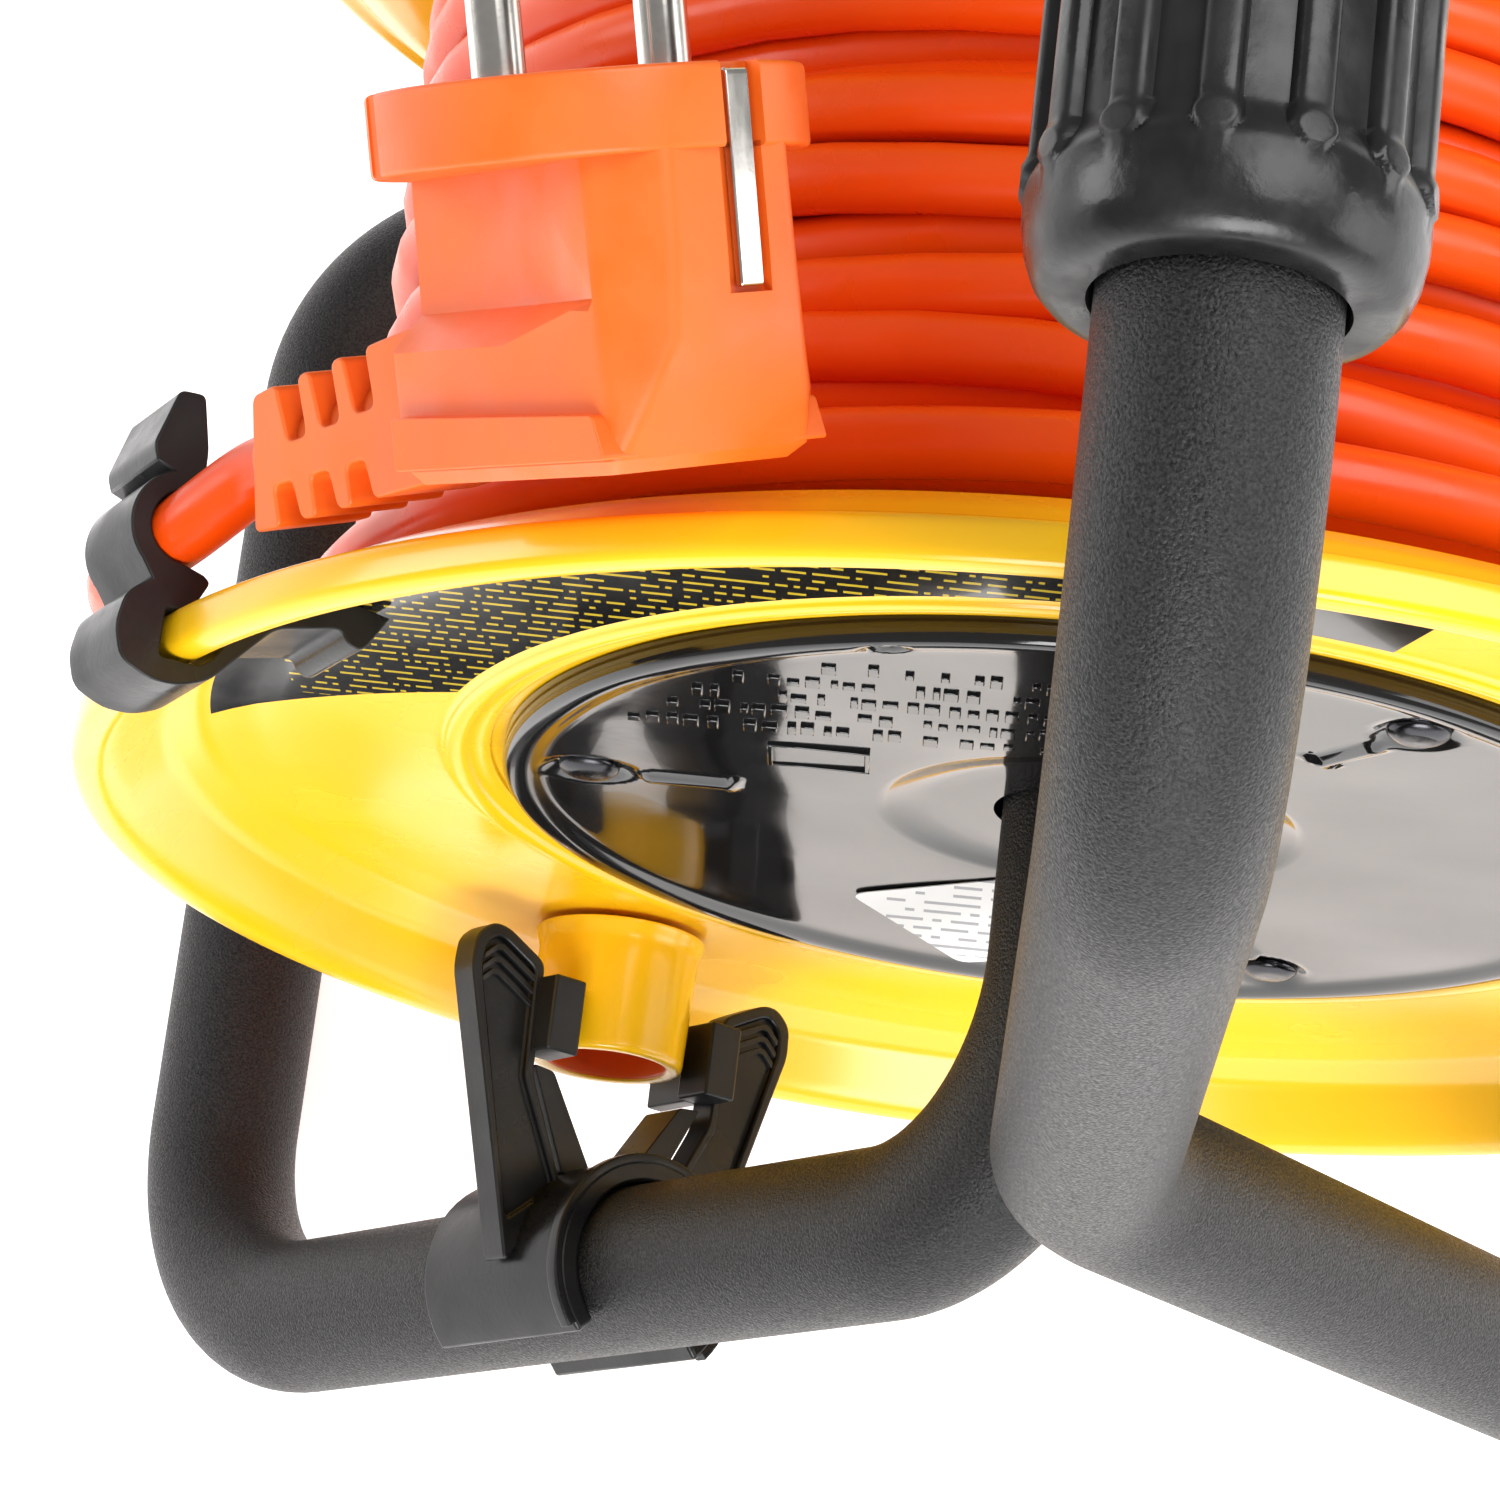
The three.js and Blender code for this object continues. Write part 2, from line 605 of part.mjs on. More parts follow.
function buildSockets() {
  const lip = PANEL_Y + GAP;
  const floor = lip + 1.2 - RECESS_DEPTH;
  for (let i = 0; i < SOCKET_COUNT; i += 1) {
    const seat = new THREE.Group();
    seat.rotation.y = rad(45 + i * 90);
    drum.add(seat);
    const place = (name, geometry, material) => {
      part(`${name}_${i + 1}`, at(geometry, 0, 0, SOCKET_AT), material, seat);
    };
    place('socket', socketCup(), BLACK_PLASTIC);
    place('earth_pin', at(turned([
      [0, floor - 3.6], [PIN_R, floor - 3.6], [PIN_R, lip - 2.5], [1.4, lip - 0.9], [0, lip - 0.6],
    ], 8), 0, 0, 10), STEEL);
    place('socket_lid', lidShape(), BLACK_PLASTIC);
    place('lid_pin', at(rod(0.9, -11, 11).rotateZ(Math.PI / 2), 0, HINGE_Y, HINGE_AT), STEEL);
  }
}

// Thermal cut-out behind the middle of the panel, with its reset button, and the
// terminal block behind it
function buildElectrics() {
  const top = PANEL_BACK - GAP;
  part('thermal_cutout', turned([
    [0, 99], [9.5, 99], [9.5, top], [4.4, top], [4.4, top - 9], [0, top - 9],
  ], 20), BLACK_PLASTIC, drum);
  part('reset_button', turned([
    [0, top - 5.5], [3.9, top - 5.5], [3.9, top + 2.4], [4.9, top + 2.6], [4.9, PANEL_Y + 3.4],
    [4.3, PANEL_Y + 4], [0, PANEL_Y + 4.2],
  ], 20), RED, drum);
  part('terminal_block', box(-14, 14, 86, 98.7, -6, 6), look(0xe8e4d8, 0.5), drum);
  const screws = [-9.5, 0, 9.5];
  screws.forEach((x, i) => {
    part(`terminal_screw_${i + 1}`, at(rod(2.4, 83.9, 85.7), x, 0, 0), BRASS, drum);
  });
}

// ---------------------------------------------------------------------- cord

// Rubber gland where the cord passes through the barrel wall
function buildGland() {
  const profile = [
    [3.8, 49], [8.2, 49], [8.2, innerR - 1.4], [6.1, innerR - 0.9],
    [6.1, BARREL_R - 0.2], [3.8, BARREL_R - 0.2],
  ];
  const gland = turned(profile, 16).rotateX(Math.PI / 2).translate(0, GLAND_Y, 0).rotateY(Math.PI);
  part('cord_gland', gland, RUBBER, drum);
}

// The wound cord's outer shape: 20 m between the flanges
function buildWinding() {
  part('cord_winding', turned([
    [BARREL_R + 0.6, windY + 0.5], [WIND_R - 1.5, windY + 0.5], [WIND_R, windY + 2],
    [WIND_R, frontWindY - 2], [WIND_R - 1.5, frontWindY - 0.5], [BARREL_R + 0.6, frontWindY - 0.5],
  ], 40), ORANGE, drum);
}

// Free end of the cord: [angle, radius, y] from the winding to the plug's
// strain relief, through the clip
const TAIL = [
  [240, 88.9, 22.5], [252, 92.5, 21.5], [264, 97.5, 19.8], [277, 104, 17], [288, 108.4, 14.4],
  [295.5, 109.8, 13.3], [299, 109.6, 13.2], [302.5, 109.8, 13.3],
];
function tailRoute() {
  const pts = TAIL.map(([angle, r, y]) => {
    const [x, z] = around(angle, r);
    return new THREE.Vector3(x, y, z);
  });
  pts.push(reliefPoint(RELIEF_LENGTH + 5), reliefPoint(RELIEF_LENGTH + 0.4));
  return new THREE.CatmullRomCurve3(pts, false, 'centripetal');
}

function buildTail() {
  const section = new THREE.Shape(ring(CORD_R, 8));
  part('cord_tail', new THREE.ExtrudeGeometry(section, {
    extrudePath: tailRoute(), steps: 20, curveSegments: 1,
  }), ORANGE, drum);
}

// ---------------------------------------------------------------------- plug

// The plug's own axes: +y along the pins, z from pin to pin, -x towards the cord.
const RELIEF_START = [-17.8, -27];
const RELIEF_TILT = 8.9;
const RELIEF_LENGTH = 33;
const plugTurn = new THREE.Matrix4()
  .makeTranslation(...PLUG_AT)
  .multiply(new THREE.Matrix4().makeRotationZ(rad(PLUG_YAW)))
  .multiply(new THREE.Matrix4().makeRotationX(rad(PLUG_PITCH)))
  .multiply(new THREE.Matrix4().makeRotationY(-rad(PLUG_ROLL)));
// A point on the strain relief's axis, `s` from where it leaves the plug
function reliefPoint(s) {
  const x = RELIEF_START[0] - s * Math.cos(rad(RELIEF_TILT));
  const y = RELIEF_START[1] - s * Math.sin(rad(RELIEF_TILT));
  return new THREE.Vector3(x, y, 0).applyMatrix4(plugTurn);
}

function buildPlug() {
  const plug = new THREE.Group();
  plug.applyMatrix4(plugTurn);
  drum.add(plug);
  const collar = turned([
    [0, -COLLAR_DEPTH], [COLLAR_R, -COLLAR_DEPTH], [COLLAR_R, -0.6], [COLLAR_R - 0.6, 0], [0, 0],
  ], 24);
  const grip = plate([
    [-15.5, -7], [-16.3, -20], [-16, -33.5], [-8, -34.6], [6, -34.6], [14, -31], [17.6, -23],
    [18, -7],
  ], 27);
  const holes = [-1, 1].map((side) => at(rod(PIN_R + 0.4, -10, 5), 0, 0, side * PIN_HALF_PITCH));
  const slots = [-1, 1].map((side) => box(side * 19 - 1.7, side * 19 + 1.7, -20, 1, -3.2, 3.2));
  part('plug_body', combine([collar, grip], [...holes, ...slots]), ORANGE, plug);
  [-1, 1].forEach((side, i) => {
    const pin = turned([
      [0, -9.6], [PIN_R, -9.6], [PIN_R, 17], [1.5, 18.8], [0, 19.2],
    ], 8);
    part(`plug_pin_${i + 1}`, at(pin, 0, 0, side * PIN_HALF_PITCH), STEEL, plug);
    const strip = box(-0.5, 0.5, -19.7, -0.4, -2.7, 2.7);
    part(`plug_earth_strip_${i + 1}`, at(strip, side * 18.1, 0, 0), STEEL, plug);
  });
  // Strain relief: a tapered sleeve that takes the cord
  const relief = turned([
    [0, 0], [7.2, 0], [6.2, RELIEF_LENGTH], [0, RELIEF_LENGTH],
  ], 12).rotateZ(Math.PI / 2 + rad(RELIEF_TILT));
  part('strain_relief', at(relief, RELIEF_START[0], RELIEF_START[1], 0), ORANGE, plug);
}

// ------------------------------------------------------------------ assembly

buildFrame();
buildGrip();
buildRearDrum();
buildFrontDrum();
buildDrumScrews();
buildRearCover();
buildBearing();
buildKnob();
buildDrumLock();
buildCordClip();
buildPanel();
buildSockets();
buildElectrics();
buildGland();
buildWinding();
buildPlug();
buildTail();

export default reel;
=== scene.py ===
"""Looks of an extension cord reel: bent tube frame, two-part drum, wound cord, parked plug.

Sizes are millimetres in the part's frame. Drum pieces are written in the drum's axes: origin on
the axle at the rear rim plane, +Y along the axle to the socket side, +Z up.
"""

import json
import math
import random

import bmesh
import bpy
from mathutils import Matrix, Vector, noise


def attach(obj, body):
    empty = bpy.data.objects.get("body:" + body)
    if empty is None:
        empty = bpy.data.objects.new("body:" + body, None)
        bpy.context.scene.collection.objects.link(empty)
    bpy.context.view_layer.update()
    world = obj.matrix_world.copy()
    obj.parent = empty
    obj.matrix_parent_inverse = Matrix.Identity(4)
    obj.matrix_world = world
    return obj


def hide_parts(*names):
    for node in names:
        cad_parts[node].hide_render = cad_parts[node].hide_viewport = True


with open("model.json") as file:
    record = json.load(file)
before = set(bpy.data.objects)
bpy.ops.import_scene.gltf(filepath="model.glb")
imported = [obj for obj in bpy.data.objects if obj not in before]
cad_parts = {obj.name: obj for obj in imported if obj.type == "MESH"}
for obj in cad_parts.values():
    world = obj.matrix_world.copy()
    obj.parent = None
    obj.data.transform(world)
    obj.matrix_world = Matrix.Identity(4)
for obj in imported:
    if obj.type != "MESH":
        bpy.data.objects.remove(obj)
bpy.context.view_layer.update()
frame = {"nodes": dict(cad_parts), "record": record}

MM = 0.001
HUB = Vector((-2.0, -47.5, 142.0))
RANDOM = random.Random(7)

# ------------------------------------------------------------------ sizes

TUBE_R = 9.8
TUBE_WALL = 1.5
FLOOR_Z = 9.808
FOOT_X = 111.0
ARM_Y = HUB.y - 33.0
FRONT_Y = HUB.y + 128.0
AXLE_END_Y = HUB.y + 66.0
HANDLE_END_Y = HUB.y + 118.0
HALF_SEAM = 0.15
UPRIGHT_FOOT_Z = 165.0
HANDLE_Z = 306.0
BASE_BEND = 28.0
HANDLE_BEND = 35.0
GRIP_R = 16.0
GRIP_END = 126.0
GRIP_RIBS = 13
RIB_COLUMNS = 28        # mesh columns in one rib's share of the turn
RIB_OFFSET = -8.0

RIM_R = 110.0
DISH = 10.5
DRUM_LENGTH = 123.5
DRUM_SEGMENTS = 240
BARREL_R = 60.0
BARREL_WALL = 2.5
SPLIT_Y = 64.0
COVER_R = 64.7
COVER_SCREW_AT = 55.3
COVER_SCREW_ANGLES = (274.0, 34.0, 154.0)
KNOB_ANGLE = 219.5
KNOB_AT = 85.6
LOCK_LENGTH = 28.0
CLIP_ANGLE = 299.0

CORD_R = 3.5
CORD_LENGTH = 20.0      # metres
GLAND = (186.0, 60.0, 31.0)     # angle, radius and y where the cord leaves the barrel

PLUG_AT = Vector((-53.9, 38.4, 117.2))
PLUG_YAW = 11.6
PLUG_PITCH = 22.4
PLUG_ROLL = 50.1
COLLAR_R = 19.5
COLLAR_DEPTH = 7.4
PIN_AT = 9.5            # from the plug's middle to a pin's axis
PIN_R = 2.4
PIN_HOLE_R = 2.9
RELIEF_START = Vector((-17.8, -27.0, 0.0))
RELIEF_TILT = 9.5
RELIEF_LENGTH = 33.0

PANEL_Y = 116.3
LID_Y = PANEL_Y + 2.3
SOCKET_AT = 33.2
SOCKET_DEPTH = 15.0
SOCKET_SEGMENTS = 96

ROW = Matrix.Identity(4)
DRUM = Matrix.Translation(HUB)
PLUG = (
    DRUM
    @ Matrix.Translation(PLUG_AT)
    @ Matrix.Rotation(math.radians(PLUG_YAW), 4, "Z")
    @ Matrix.Rotation(math.radians(PLUG_PITCH), 4, "X")
    @ Matrix.Rotation(-math.radians(PLUG_ROLL), 4, "Y")
)


def around(angle, radius):
    """[x, z] at an angle clockwise from straight up, seen from the rear."""
    return radius * math.sin(math.radians(angle)), radius * math.cos(math.radians(angle))


def lock_frame():
    """Across the left arm, along the object's Y, and up the arm towards the hub."""
    up = Vector((FOOT_X + HUB.x, 0, HUB.z - FLOOR_Z)).normalized()
    across = Vector((up.z, 0, -up.x))
    turn = Matrix((across, Vector((0, 1, 0)), up)).transposed().to_4x4()
    place = Vector((HUB.x, ARM_Y, HUB.z)) - up * KNOB_AT
    return Matrix.Translation(place) @ turn


def seat_frame(angle):
    """A socket's own axes: +Z away from the axle."""
    return DRUM @ Matrix.Rotation(math.radians(angle), 4, "Y")


def in_scene(name, data):
    """A new object on `data`, linked to the scene."""
    obj = bpy.data.objects.new(name, data)
    bpy.context.scene.collection.objects.link(obj)
    return obj


def shade_smooth(mesh, sharp):
    mesh.polygons.foreach_set("use_smooth", [True] * len(mesh.polygons))
    mesh.set_sharp_from_angle(angle=math.radians(sharp))


# -------------------------------------------------------------- materials


class Surface:
    """A principled material and the few node recipes that the finishes share."""

    def __init__(self, name, color, roughness, metallic=0.0, **sockets):
        self.material = bpy.data.materials.new(name)
        self.material.use_nodes = True
        self.nodes = self.material.node_tree.nodes
        self.links = self.material.node_tree.links
        self.shader = self.nodes["Principled BSDF"]
        self.color = (*color, 1.0)
        self.roughness = roughness
        self.shader.inputs["Base Color"].default_value = self.color
        self.shader.inputs["Roughness"].default_value = roughness
        self.shader.inputs["Metallic"].default_value = metallic
        for socket, value in sockets.items():
            self.shader.inputs[socket.replace("_", " ")].default_value = value
        self.place = self.nodes.new("ShaderNodeTexCoord").outputs["Object"]
        self.height = None

    def link(self, a, b):
        self.links.new(a, b)

    def noise(self, scale, detail=3.0, stretch=(1, 1, 1)):
        """Noise in the object's own metres: scale is features per metre."""
        mapping = self.nodes.new("ShaderNodeMapping")
        mapping.inputs["Scale"].default_value = stretch
        self.link(self.place, mapping.inputs["Vector"])
        node = self.nodes.new("ShaderNodeTexNoise")
        node.inputs["Scale"].default_value = scale
        node.inputs["Detail"].default_value = detail
        self.link(mapping.outputs["Vector"], node.inputs["Vector"])
        return node.outputs["Fac"]

    def ramp(self, fac, low, high, from_low=0.35, from_high=0.65):
        node = self.nodes.new("ShaderNodeMapRange")
        limits = zip(("From Min", "From Max", "To Min", "To Max"), (from_low, from_high, low, high))
        for socket, value in limits:
            node.inputs[socket].default_value = value
        self.link(fac, node.inputs["Value"])
        return node.outputs["Result"]

    def math(self, operation, a, b):
        node = self.nodes.new("ShaderNodeMath")
        node.operation = operation
        for socket, value in zip(node.inputs, (a, b)):
            if isinstance(value, (int, float)):
                socket.default_value = value
            else:
                self.link(value, socket)
        return node.outputs[0]

    def bump(self, fac, depth, strength=1.0):
        """Adds relief `depth` metres deep to the surface."""
        node = self.nodes.new("ShaderNodeBump")
        node.inputs["Distance"].default_value = depth
        node.inputs["Strength"].default_value = strength
        self.link(fac, node.inputs["Height"])
        if self.height is not None:
            self.link(self.height, node.inputs["Normal"])
        self.height = node.outputs["Normal"]
        self.link(self.height, self.shader.inputs["Normal"])
        return self

    def vary_roughness(self, scale, spread, stretch=(1, 1, 1)):
        fac = self.noise(scale, 4.0, stretch)
        low, high = self.roughness - spread, self.roughness + spread
        self.link(self.ramp(fac, low, high), self.shader.inputs["Roughness"])
        return self

    def mottle(self, other, scale, amount=1.0, stretch=(1, 1, 1)):
        fac = self.ramp(self.noise(scale, 4.0, stretch), 0.0, amount)
        return self.blend(other, fac)

    def blend(self, other, fac):
        """Shows the colour `other` where fac is 1, over what is there already."""
        mix = self.nodes.new("ShaderNodeMix")
        mix.data_type = "RGBA"
        base = self.shader.inputs["Base Color"]
        if base.is_linked:
            self.link(base.links[0].from_socket, mix.inputs["A"])
        else:
            mix.inputs["A"].default_value = self.color
        mix.inputs["B"].default_value = (*other, 1.0)
        self.link(fac, mix.inputs["Factor"])
        self.link(mix.outputs["Result"], base)
        return self

    def worn_edges(self, other, amount=0.5):
        """Lighter colour on the sharpest outer edges."""
        geometry = self.nodes.new("ShaderNodeNewGeometry")
        fac = self.ramp(geometry.outputs["Pointiness"], 0.0, amount, 0.53, 0.62)
        return self.blend(other, fac)


def finish(name, color, roughness, mottle=None, vary=None, bumps=(), metallic=0.0, **sockets):
    """A surface; each bump is the noise's scale and detail, and the relief's depth and strength."""
    s = Surface(name, color, roughness, metallic, **sockets)
    if mottle:
        s.mottle(*mottle)
    if vary:
        s.vary_roughness(*vary)
    for scale, detail, depth, strength in bumps:
        s.bump(s.noise(scale, detail), depth, strength)
    return s


def plain_metal(name, color, roughness):
    return finish(
        name, color, roughness, ([c * 0.7 for c in color], 260, 0.6), (400, 0.08, (1, 0.15, 1)),
        [(900, 2.0, 0.00002, 0.3)], metallic=1.0).material


def plain_plastic(name, color, roughness):
    return finish(
        name, color, roughness, ([c * 0.75 for c in color], 80, 0.6), (150, 0.08),
        [(1000, 2.0, 0.00003, 0.3)]).material


def printed_rows(s, pitch, height, letter, ink, limits):
    """Rows of broken dashes parallel to X on the surface, between limits in x and z."""
    split = s.nodes.new("ShaderNodeSeparateXYZ")
    s.link(s.place, split.inputs["Vector"])
    x, z = split.outputs["X"], split.outputs["Z"]
    row = s.math("DIVIDE", z, pitch)
    within = s.math("FRACT", row, 0.0)
    line = s.math("LESS_THAN", s.math("ABSOLUTE", s.math("SUBTRACT", within, 0.5), 0.0), height)
    cell = s.nodes.new("ShaderNodeCombineXYZ")
    s.link(s.math("FLOOR", s.math("DIVIDE", x, letter), 0.0), cell.inputs["X"])
    s.link(s.math("FLOOR", row, 0.0), cell.inputs["Y"])
    dice = s.nodes.new("ShaderNodeTexWhiteNoise")
    dice.noise_dimensions = "2D"
    s.link(cell.outputs["Vector"], dice.inputs["Vector"])
    marks = s.math("GREATER_THAN", dice.outputs["Value"], 0.36)
    fac = s.math("MULTIPLY", line, marks)
    for value, low, high in ((x, limits[0], limits[1]), (z, limits[2], limits[3])):
        fac = s.math("MULTIPLY", fac, s.math("GREATER_THAN", value, low))
        fac = s.math("MULTIPLY", fac, s.math("LESS_THAN", value, high))
    return s.blend(ink, fac)


def flange_label():
    s = finish("flange_label", (0.008, 0.008, 0.008), 0.1, vary=(60, 0.04), Coat_Weight=0.4)
    printed_rows(s, 0.0021, 0.15, 0.0006, (0.5, 0.36, 0.03), (-0.086, 0.004, 0.018, 0.092))
    return s.bump(s.noise(30, 2.0), 0.0004, 0.2)


def paper_label():
    s = Surface("paper_label", (0.83, 0.83, 0.82), 0.55)
    printed_rows(s, 0.0034, 0.16, 0.0011, (0.35, 0.36, 0.38), (-0.022, 0.004, -0.056, -0.024))
    return s.bump(s.noise(700, 2.0), 0.00003, 0.3)


def floor_surface():
    s = finish("floor", (0.93, 0.93, 0.93), 0.8, ((0.9, 0.9, 0.9), 6))
    s.shader.inputs["Emission Color"].default_value = (1, 1, 1, 1)
    s.shader.inputs["Emission Strength"].default_value = 0.75
    return s


POWDER = finish(
    "powder_coat", (0.005, 0.005, 0.0052), 0.45, ((0.028, 0.028, 0.028), 3300), (3000, 0.14),
    [(3000, 2.0, 0.00022, 0.9), (60, 2.0, 0.0002, 0.12)], Specular_IOR_Level=0.27).material
RUBBER = finish(
    "moulded_rubber", (0.006, 0.006, 0.0063), 0.33, ((0.026, 0.026, 0.027), 240, 0.4, (1, 0.3, 1)),
    (160, 0.13), [(900, 4.0, 0.00008, 0.5)], Specular_IOR_Level=0.42).material
YELLOW = finish(
    "yellow_plastic", (0.98, 0.56, 0.006), 0.24, ((0.96, 0.5, 0.004), 14, 0.6), (35, 0.07),
    [(25, 2.0, 0.0004, 0.12), (1500, 2.0, 0.00002, 0.2)], Coat_Weight=0.25,
    Coat_Roughness=0.12).material
GLOSS = finish(
    "gloss_black", (0.006, 0.006, 0.0065), 0.11, None, (40, 0.05),
    [(28, 2.0, 0.0011, 0.3), (600, 3.0, 0.00003, 0.2)], Coat_Weight=0.3).material
BLACK = finish(
    "black_plastic", (0.005, 0.005, 0.0052), 0.33, ((0.016, 0.016, 0.0165), 90, 0.6), (110, 0.1),
    [(1300, 3.0, 0.00005, 0.45)], Specular_IOR_Level=0.3).worn_edges((0.06, 0.06, 0.06)).material
PLUG_ORANGE = finish(
    "orange_plug", (0.82, 0.12, 0.008), 0.46, ((0.84, 0.15, 0.012), 70, 0.8), (140, 0.1),
    [(1200, 3.0, 0.00005, 0.5), (90, 2.0, 0.0003, 0.25)], Subsurface_Weight=0.05,
    Subsurface_Scale=0.002).material
SHEATH = finish(
    "orange_sheath", (0.84, 0.07, 0.002), 0.32, ((0.87, 0.09, 0.003), 45, 0.8), (120, 0.08),
    [(160, 3.0, 0.00025, 0.25)], Specular_IOR_Level=0.35).material
NICKEL = plain_metal("nickel", (0.74, 0.71, 0.66), 0.22)
ZINC = plain_metal("zinc", (0.6, 0.61, 0.63), 0.3)
BRASS = plain_metal("brass", (0.72, 0.52, 0.2), 0.3)
DARK_SCREW = plain_metal("dark_screw", (0.06, 0.06, 0.065), 0.25)
RED = plain_plastic("red_plastic", (0.62, 0.02, 0.012), 0.32)
CREAM = plain_plastic("cream_plastic", (0.78, 0.74, 0.64), 0.5)
# painted shade: orange-red that stands in for the shade and interreflected yellow light inside the
# hollow knob
KNOB_PAINTED_SHADE = plain_plastic("knob_painted_shade", (0.95, 0.16, 0.01), 0.4)
FLANGE_LABEL = flange_label().material
PAPER = paper_label().material

SLOT_LOOKS = {
    "frame": POWDER, "zinc_steel": ZINC, "grip_rubber": RUBBER, "gland_rubber": RUBBER,
    "black_plastic": BLACK, "drum_yellow": YELLOW, "cover_gloss": GLOSS,
    "orange_plastic": PLUG_ORANGE, "cord_sheath": SHEATH, "nickel": NICKEL,
    "red_plastic": RED, "terminal_white": CREAM, "brass": BRASS,
}

# ---------------------------------------------------------------- camera

SENSOR_WIDTH = 36.0
LENS = 116.088
SHIFT_X = -1 / 6        # the optical axis lies right of the frame's middle
AZIMUTH = -0.59
ELEVATION = 72.38
ROLL = 6.57
TARGET_DISTANCE = 528.58
SLIDE = (-8.94, 17.98)


def make_camera():
    a, e, roll = (math.radians(v) for v in (AZIMUTH, ELEVATION, ROLL))
    back = Vector((math.sin(a) * math.cos(e), -math.cos(a) * math.cos(e), math.sin(e)))
    right = Vector((0, 0, 1)).cross(back).normalized()
    up = back.cross(right)
    right, up = (
        right * math.cos(roll) + up * math.sin(roll),
        up * math.cos(roll) - right * math.sin(roll),
    )
    place = HUB + back * TARGET_DISTANCE + right * SLIDE[0] + up * SLIDE[1]
    data = bpy.data.cameras.new("camera")
    data.sensor_width = SENSOR_WIDTH
    data.lens = LENS
    data.shift_x = SHIFT_X
    data.clip_start = 0.02
    camera = in_scene("camera", data)
    camera.matrix_world = (
        Matrix.Translation(place * MM)
        @ Matrix((right, up, back)).transposed().to_4x4()
    )
    bpy.context.scene.camera = camera


make_camera()

# --------------------------------------------------------- mesh building


def add_piece(name, verts, faces, where, body, slot, look, sharp=35.0):
    """A mesh from millimetre points placed by `where`, riding on a CAD body."""
    mesh = bpy.data.meshes.new(name)
    mesh.from_pydata([Vector(v) * MM for v in verts], [], faces)
    mesh.validate()
    shape = bmesh.new()
    shape.from_mesh(mesh)
    bmesh.ops.recalc_face_normals(shape, faces=shape.faces)
    shape.to_mesh(mesh)
    shape.free()
    shade_smooth(mesh, sharp)
    mesh.materials.append(look)
    obj = in_scene(name, mesh)
    at = where.copy()
    at.translation = where.translation * MM
    obj.matrix_world = at
    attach(obj, body)
    return obj


def black_piece(name, shape, where, body="drum", sharp=35.0):
    return add_piece(name, *shape, where, body, "black_plastic", BLACK, sharp)


def orange_piece(name, shape, where, sharp=35.0):
    return add_piece(name, *shape, where, "drum", "orange_plastic", PLUG_ORANGE, sharp)


def nickel_piece(name, shape, where):
    return add_piece(name, *shape, where, "drum", "nickel", NICKEL)


def soften(points, radius, steps=4, loop=True):
    """The outline with each corner rounded, by up to `radius` from the corner."""
    out = []
    count = len(points)
    for i, here in enumerate(points):
        p = Vector(here)
        if not loop and i in (0, count - 1):
            out.append(tuple(p))
            continue
        before = Vector(points[i - 1]) - p
        after = Vector(points[(i + 1) % count]) - p
        a = p + before.normalized() * min(radius, 0.45 * before.length)
        b = p + after.normalized() * min(radius, 0.45 * after.length)
        for k in range(steps + 1):
            t = k / steps
            q = a * (1 - t) ** 2 + p * 2 * t * (1 - t) + b * t**2
            out.append(tuple(q))
    return out


def skin(rings, loop=True):
    """Faces between neighbouring rings of vertex numbers; a ring may repeat one number."""
    faces = []
    for a, b in zip(rings, rings[1:] + rings[:1] * loop):
        for k in range(len(a)):
            m = (k + 1) % len(a)
            face = list(dict.fromkeys((a[k], a[m], b[m], b[k])))
            if len(face) > 2:
                faces.append(face)
    return faces


def lathe(profile, segments=96, loop=True):
    """Verts and faces of a body of revolution about Y from [radius, y] pairs."""
    verts, rings = [], []
    for r, y in profile:
        if r < 1e-6:
            rings.append([len(verts)] * segments)
            verts.append((0.0, y, 0.0))
            continue
        rings.append(list(range(len(verts), len(verts) + segments)))
        for k in range(segments):
            w = 2 * math.pi * k / segments
            verts.append((r * math.sin(w), y, r * math.cos(w)))
    return verts, skin(rings, loop)


def soft_lathe(profile, radius, segments):
    """A solid of revolution: the profile runs from axis to axis, its corners are rounded."""
    return lathe(soften(profile, radius, loop=False), segments, False)


def rod(radius, y0, y1, segments):
    return lathe([(0, y0), (radius, y0), (radius, y1), (0, y1)], segments, False)


def moved(shape, x=0.0, y=0.0, z=0.0):
    verts, faces = shape
    return [(v[0] + x, v[1] + y, v[2] + z) for v in verts], faces


def turned_about(shape, angle, axis):
    turn = Matrix.Rotation(math.radians(angle), 3, axis)
    verts, faces = shape
    return [tuple(turn @ Vector(v)) for v in verts], faces


def joined(*shapes):
    verts, faces = [], []
    for v, f in shapes:
        start = len(verts)
        verts += v
        faces += [[i + start for i in face] for face in f]
    return verts, faces


def loft(sections):
    """Closed body through rings of equal point counts, with flat ends."""
    n = len(sections[0])
    rings = [range(start, start + n) for start in range(0, n * len(sections), n)]
    ends = [list(rings[0])[::-1], list(rings[-1])]
    return [p for ring in sections for p in ring], ends + skin(rings, False)


def prism(outline, z0, z1):
    """The outline [x, y] between two heights along z."""
    return loft([[(x, y, z) for x, y in outline] for z in (z0, z1)])


def block(x0, x1, y0, y1, z0, z1):
    return prism([(x0, y0), (x1, y0), (x1, y1), (x0, y1)], z0, z1)


def bevel(obj, width, segments=3, angle=30.0):
    m = obj.modifiers.new("bevel", "BEVEL")
    m.width = width * MM
    m.segments = segments
    m.limit_method = "ANGLE"
    m.angle_limit = math.radians(angle)
    m.use_clamp_overlap = True
    return obj


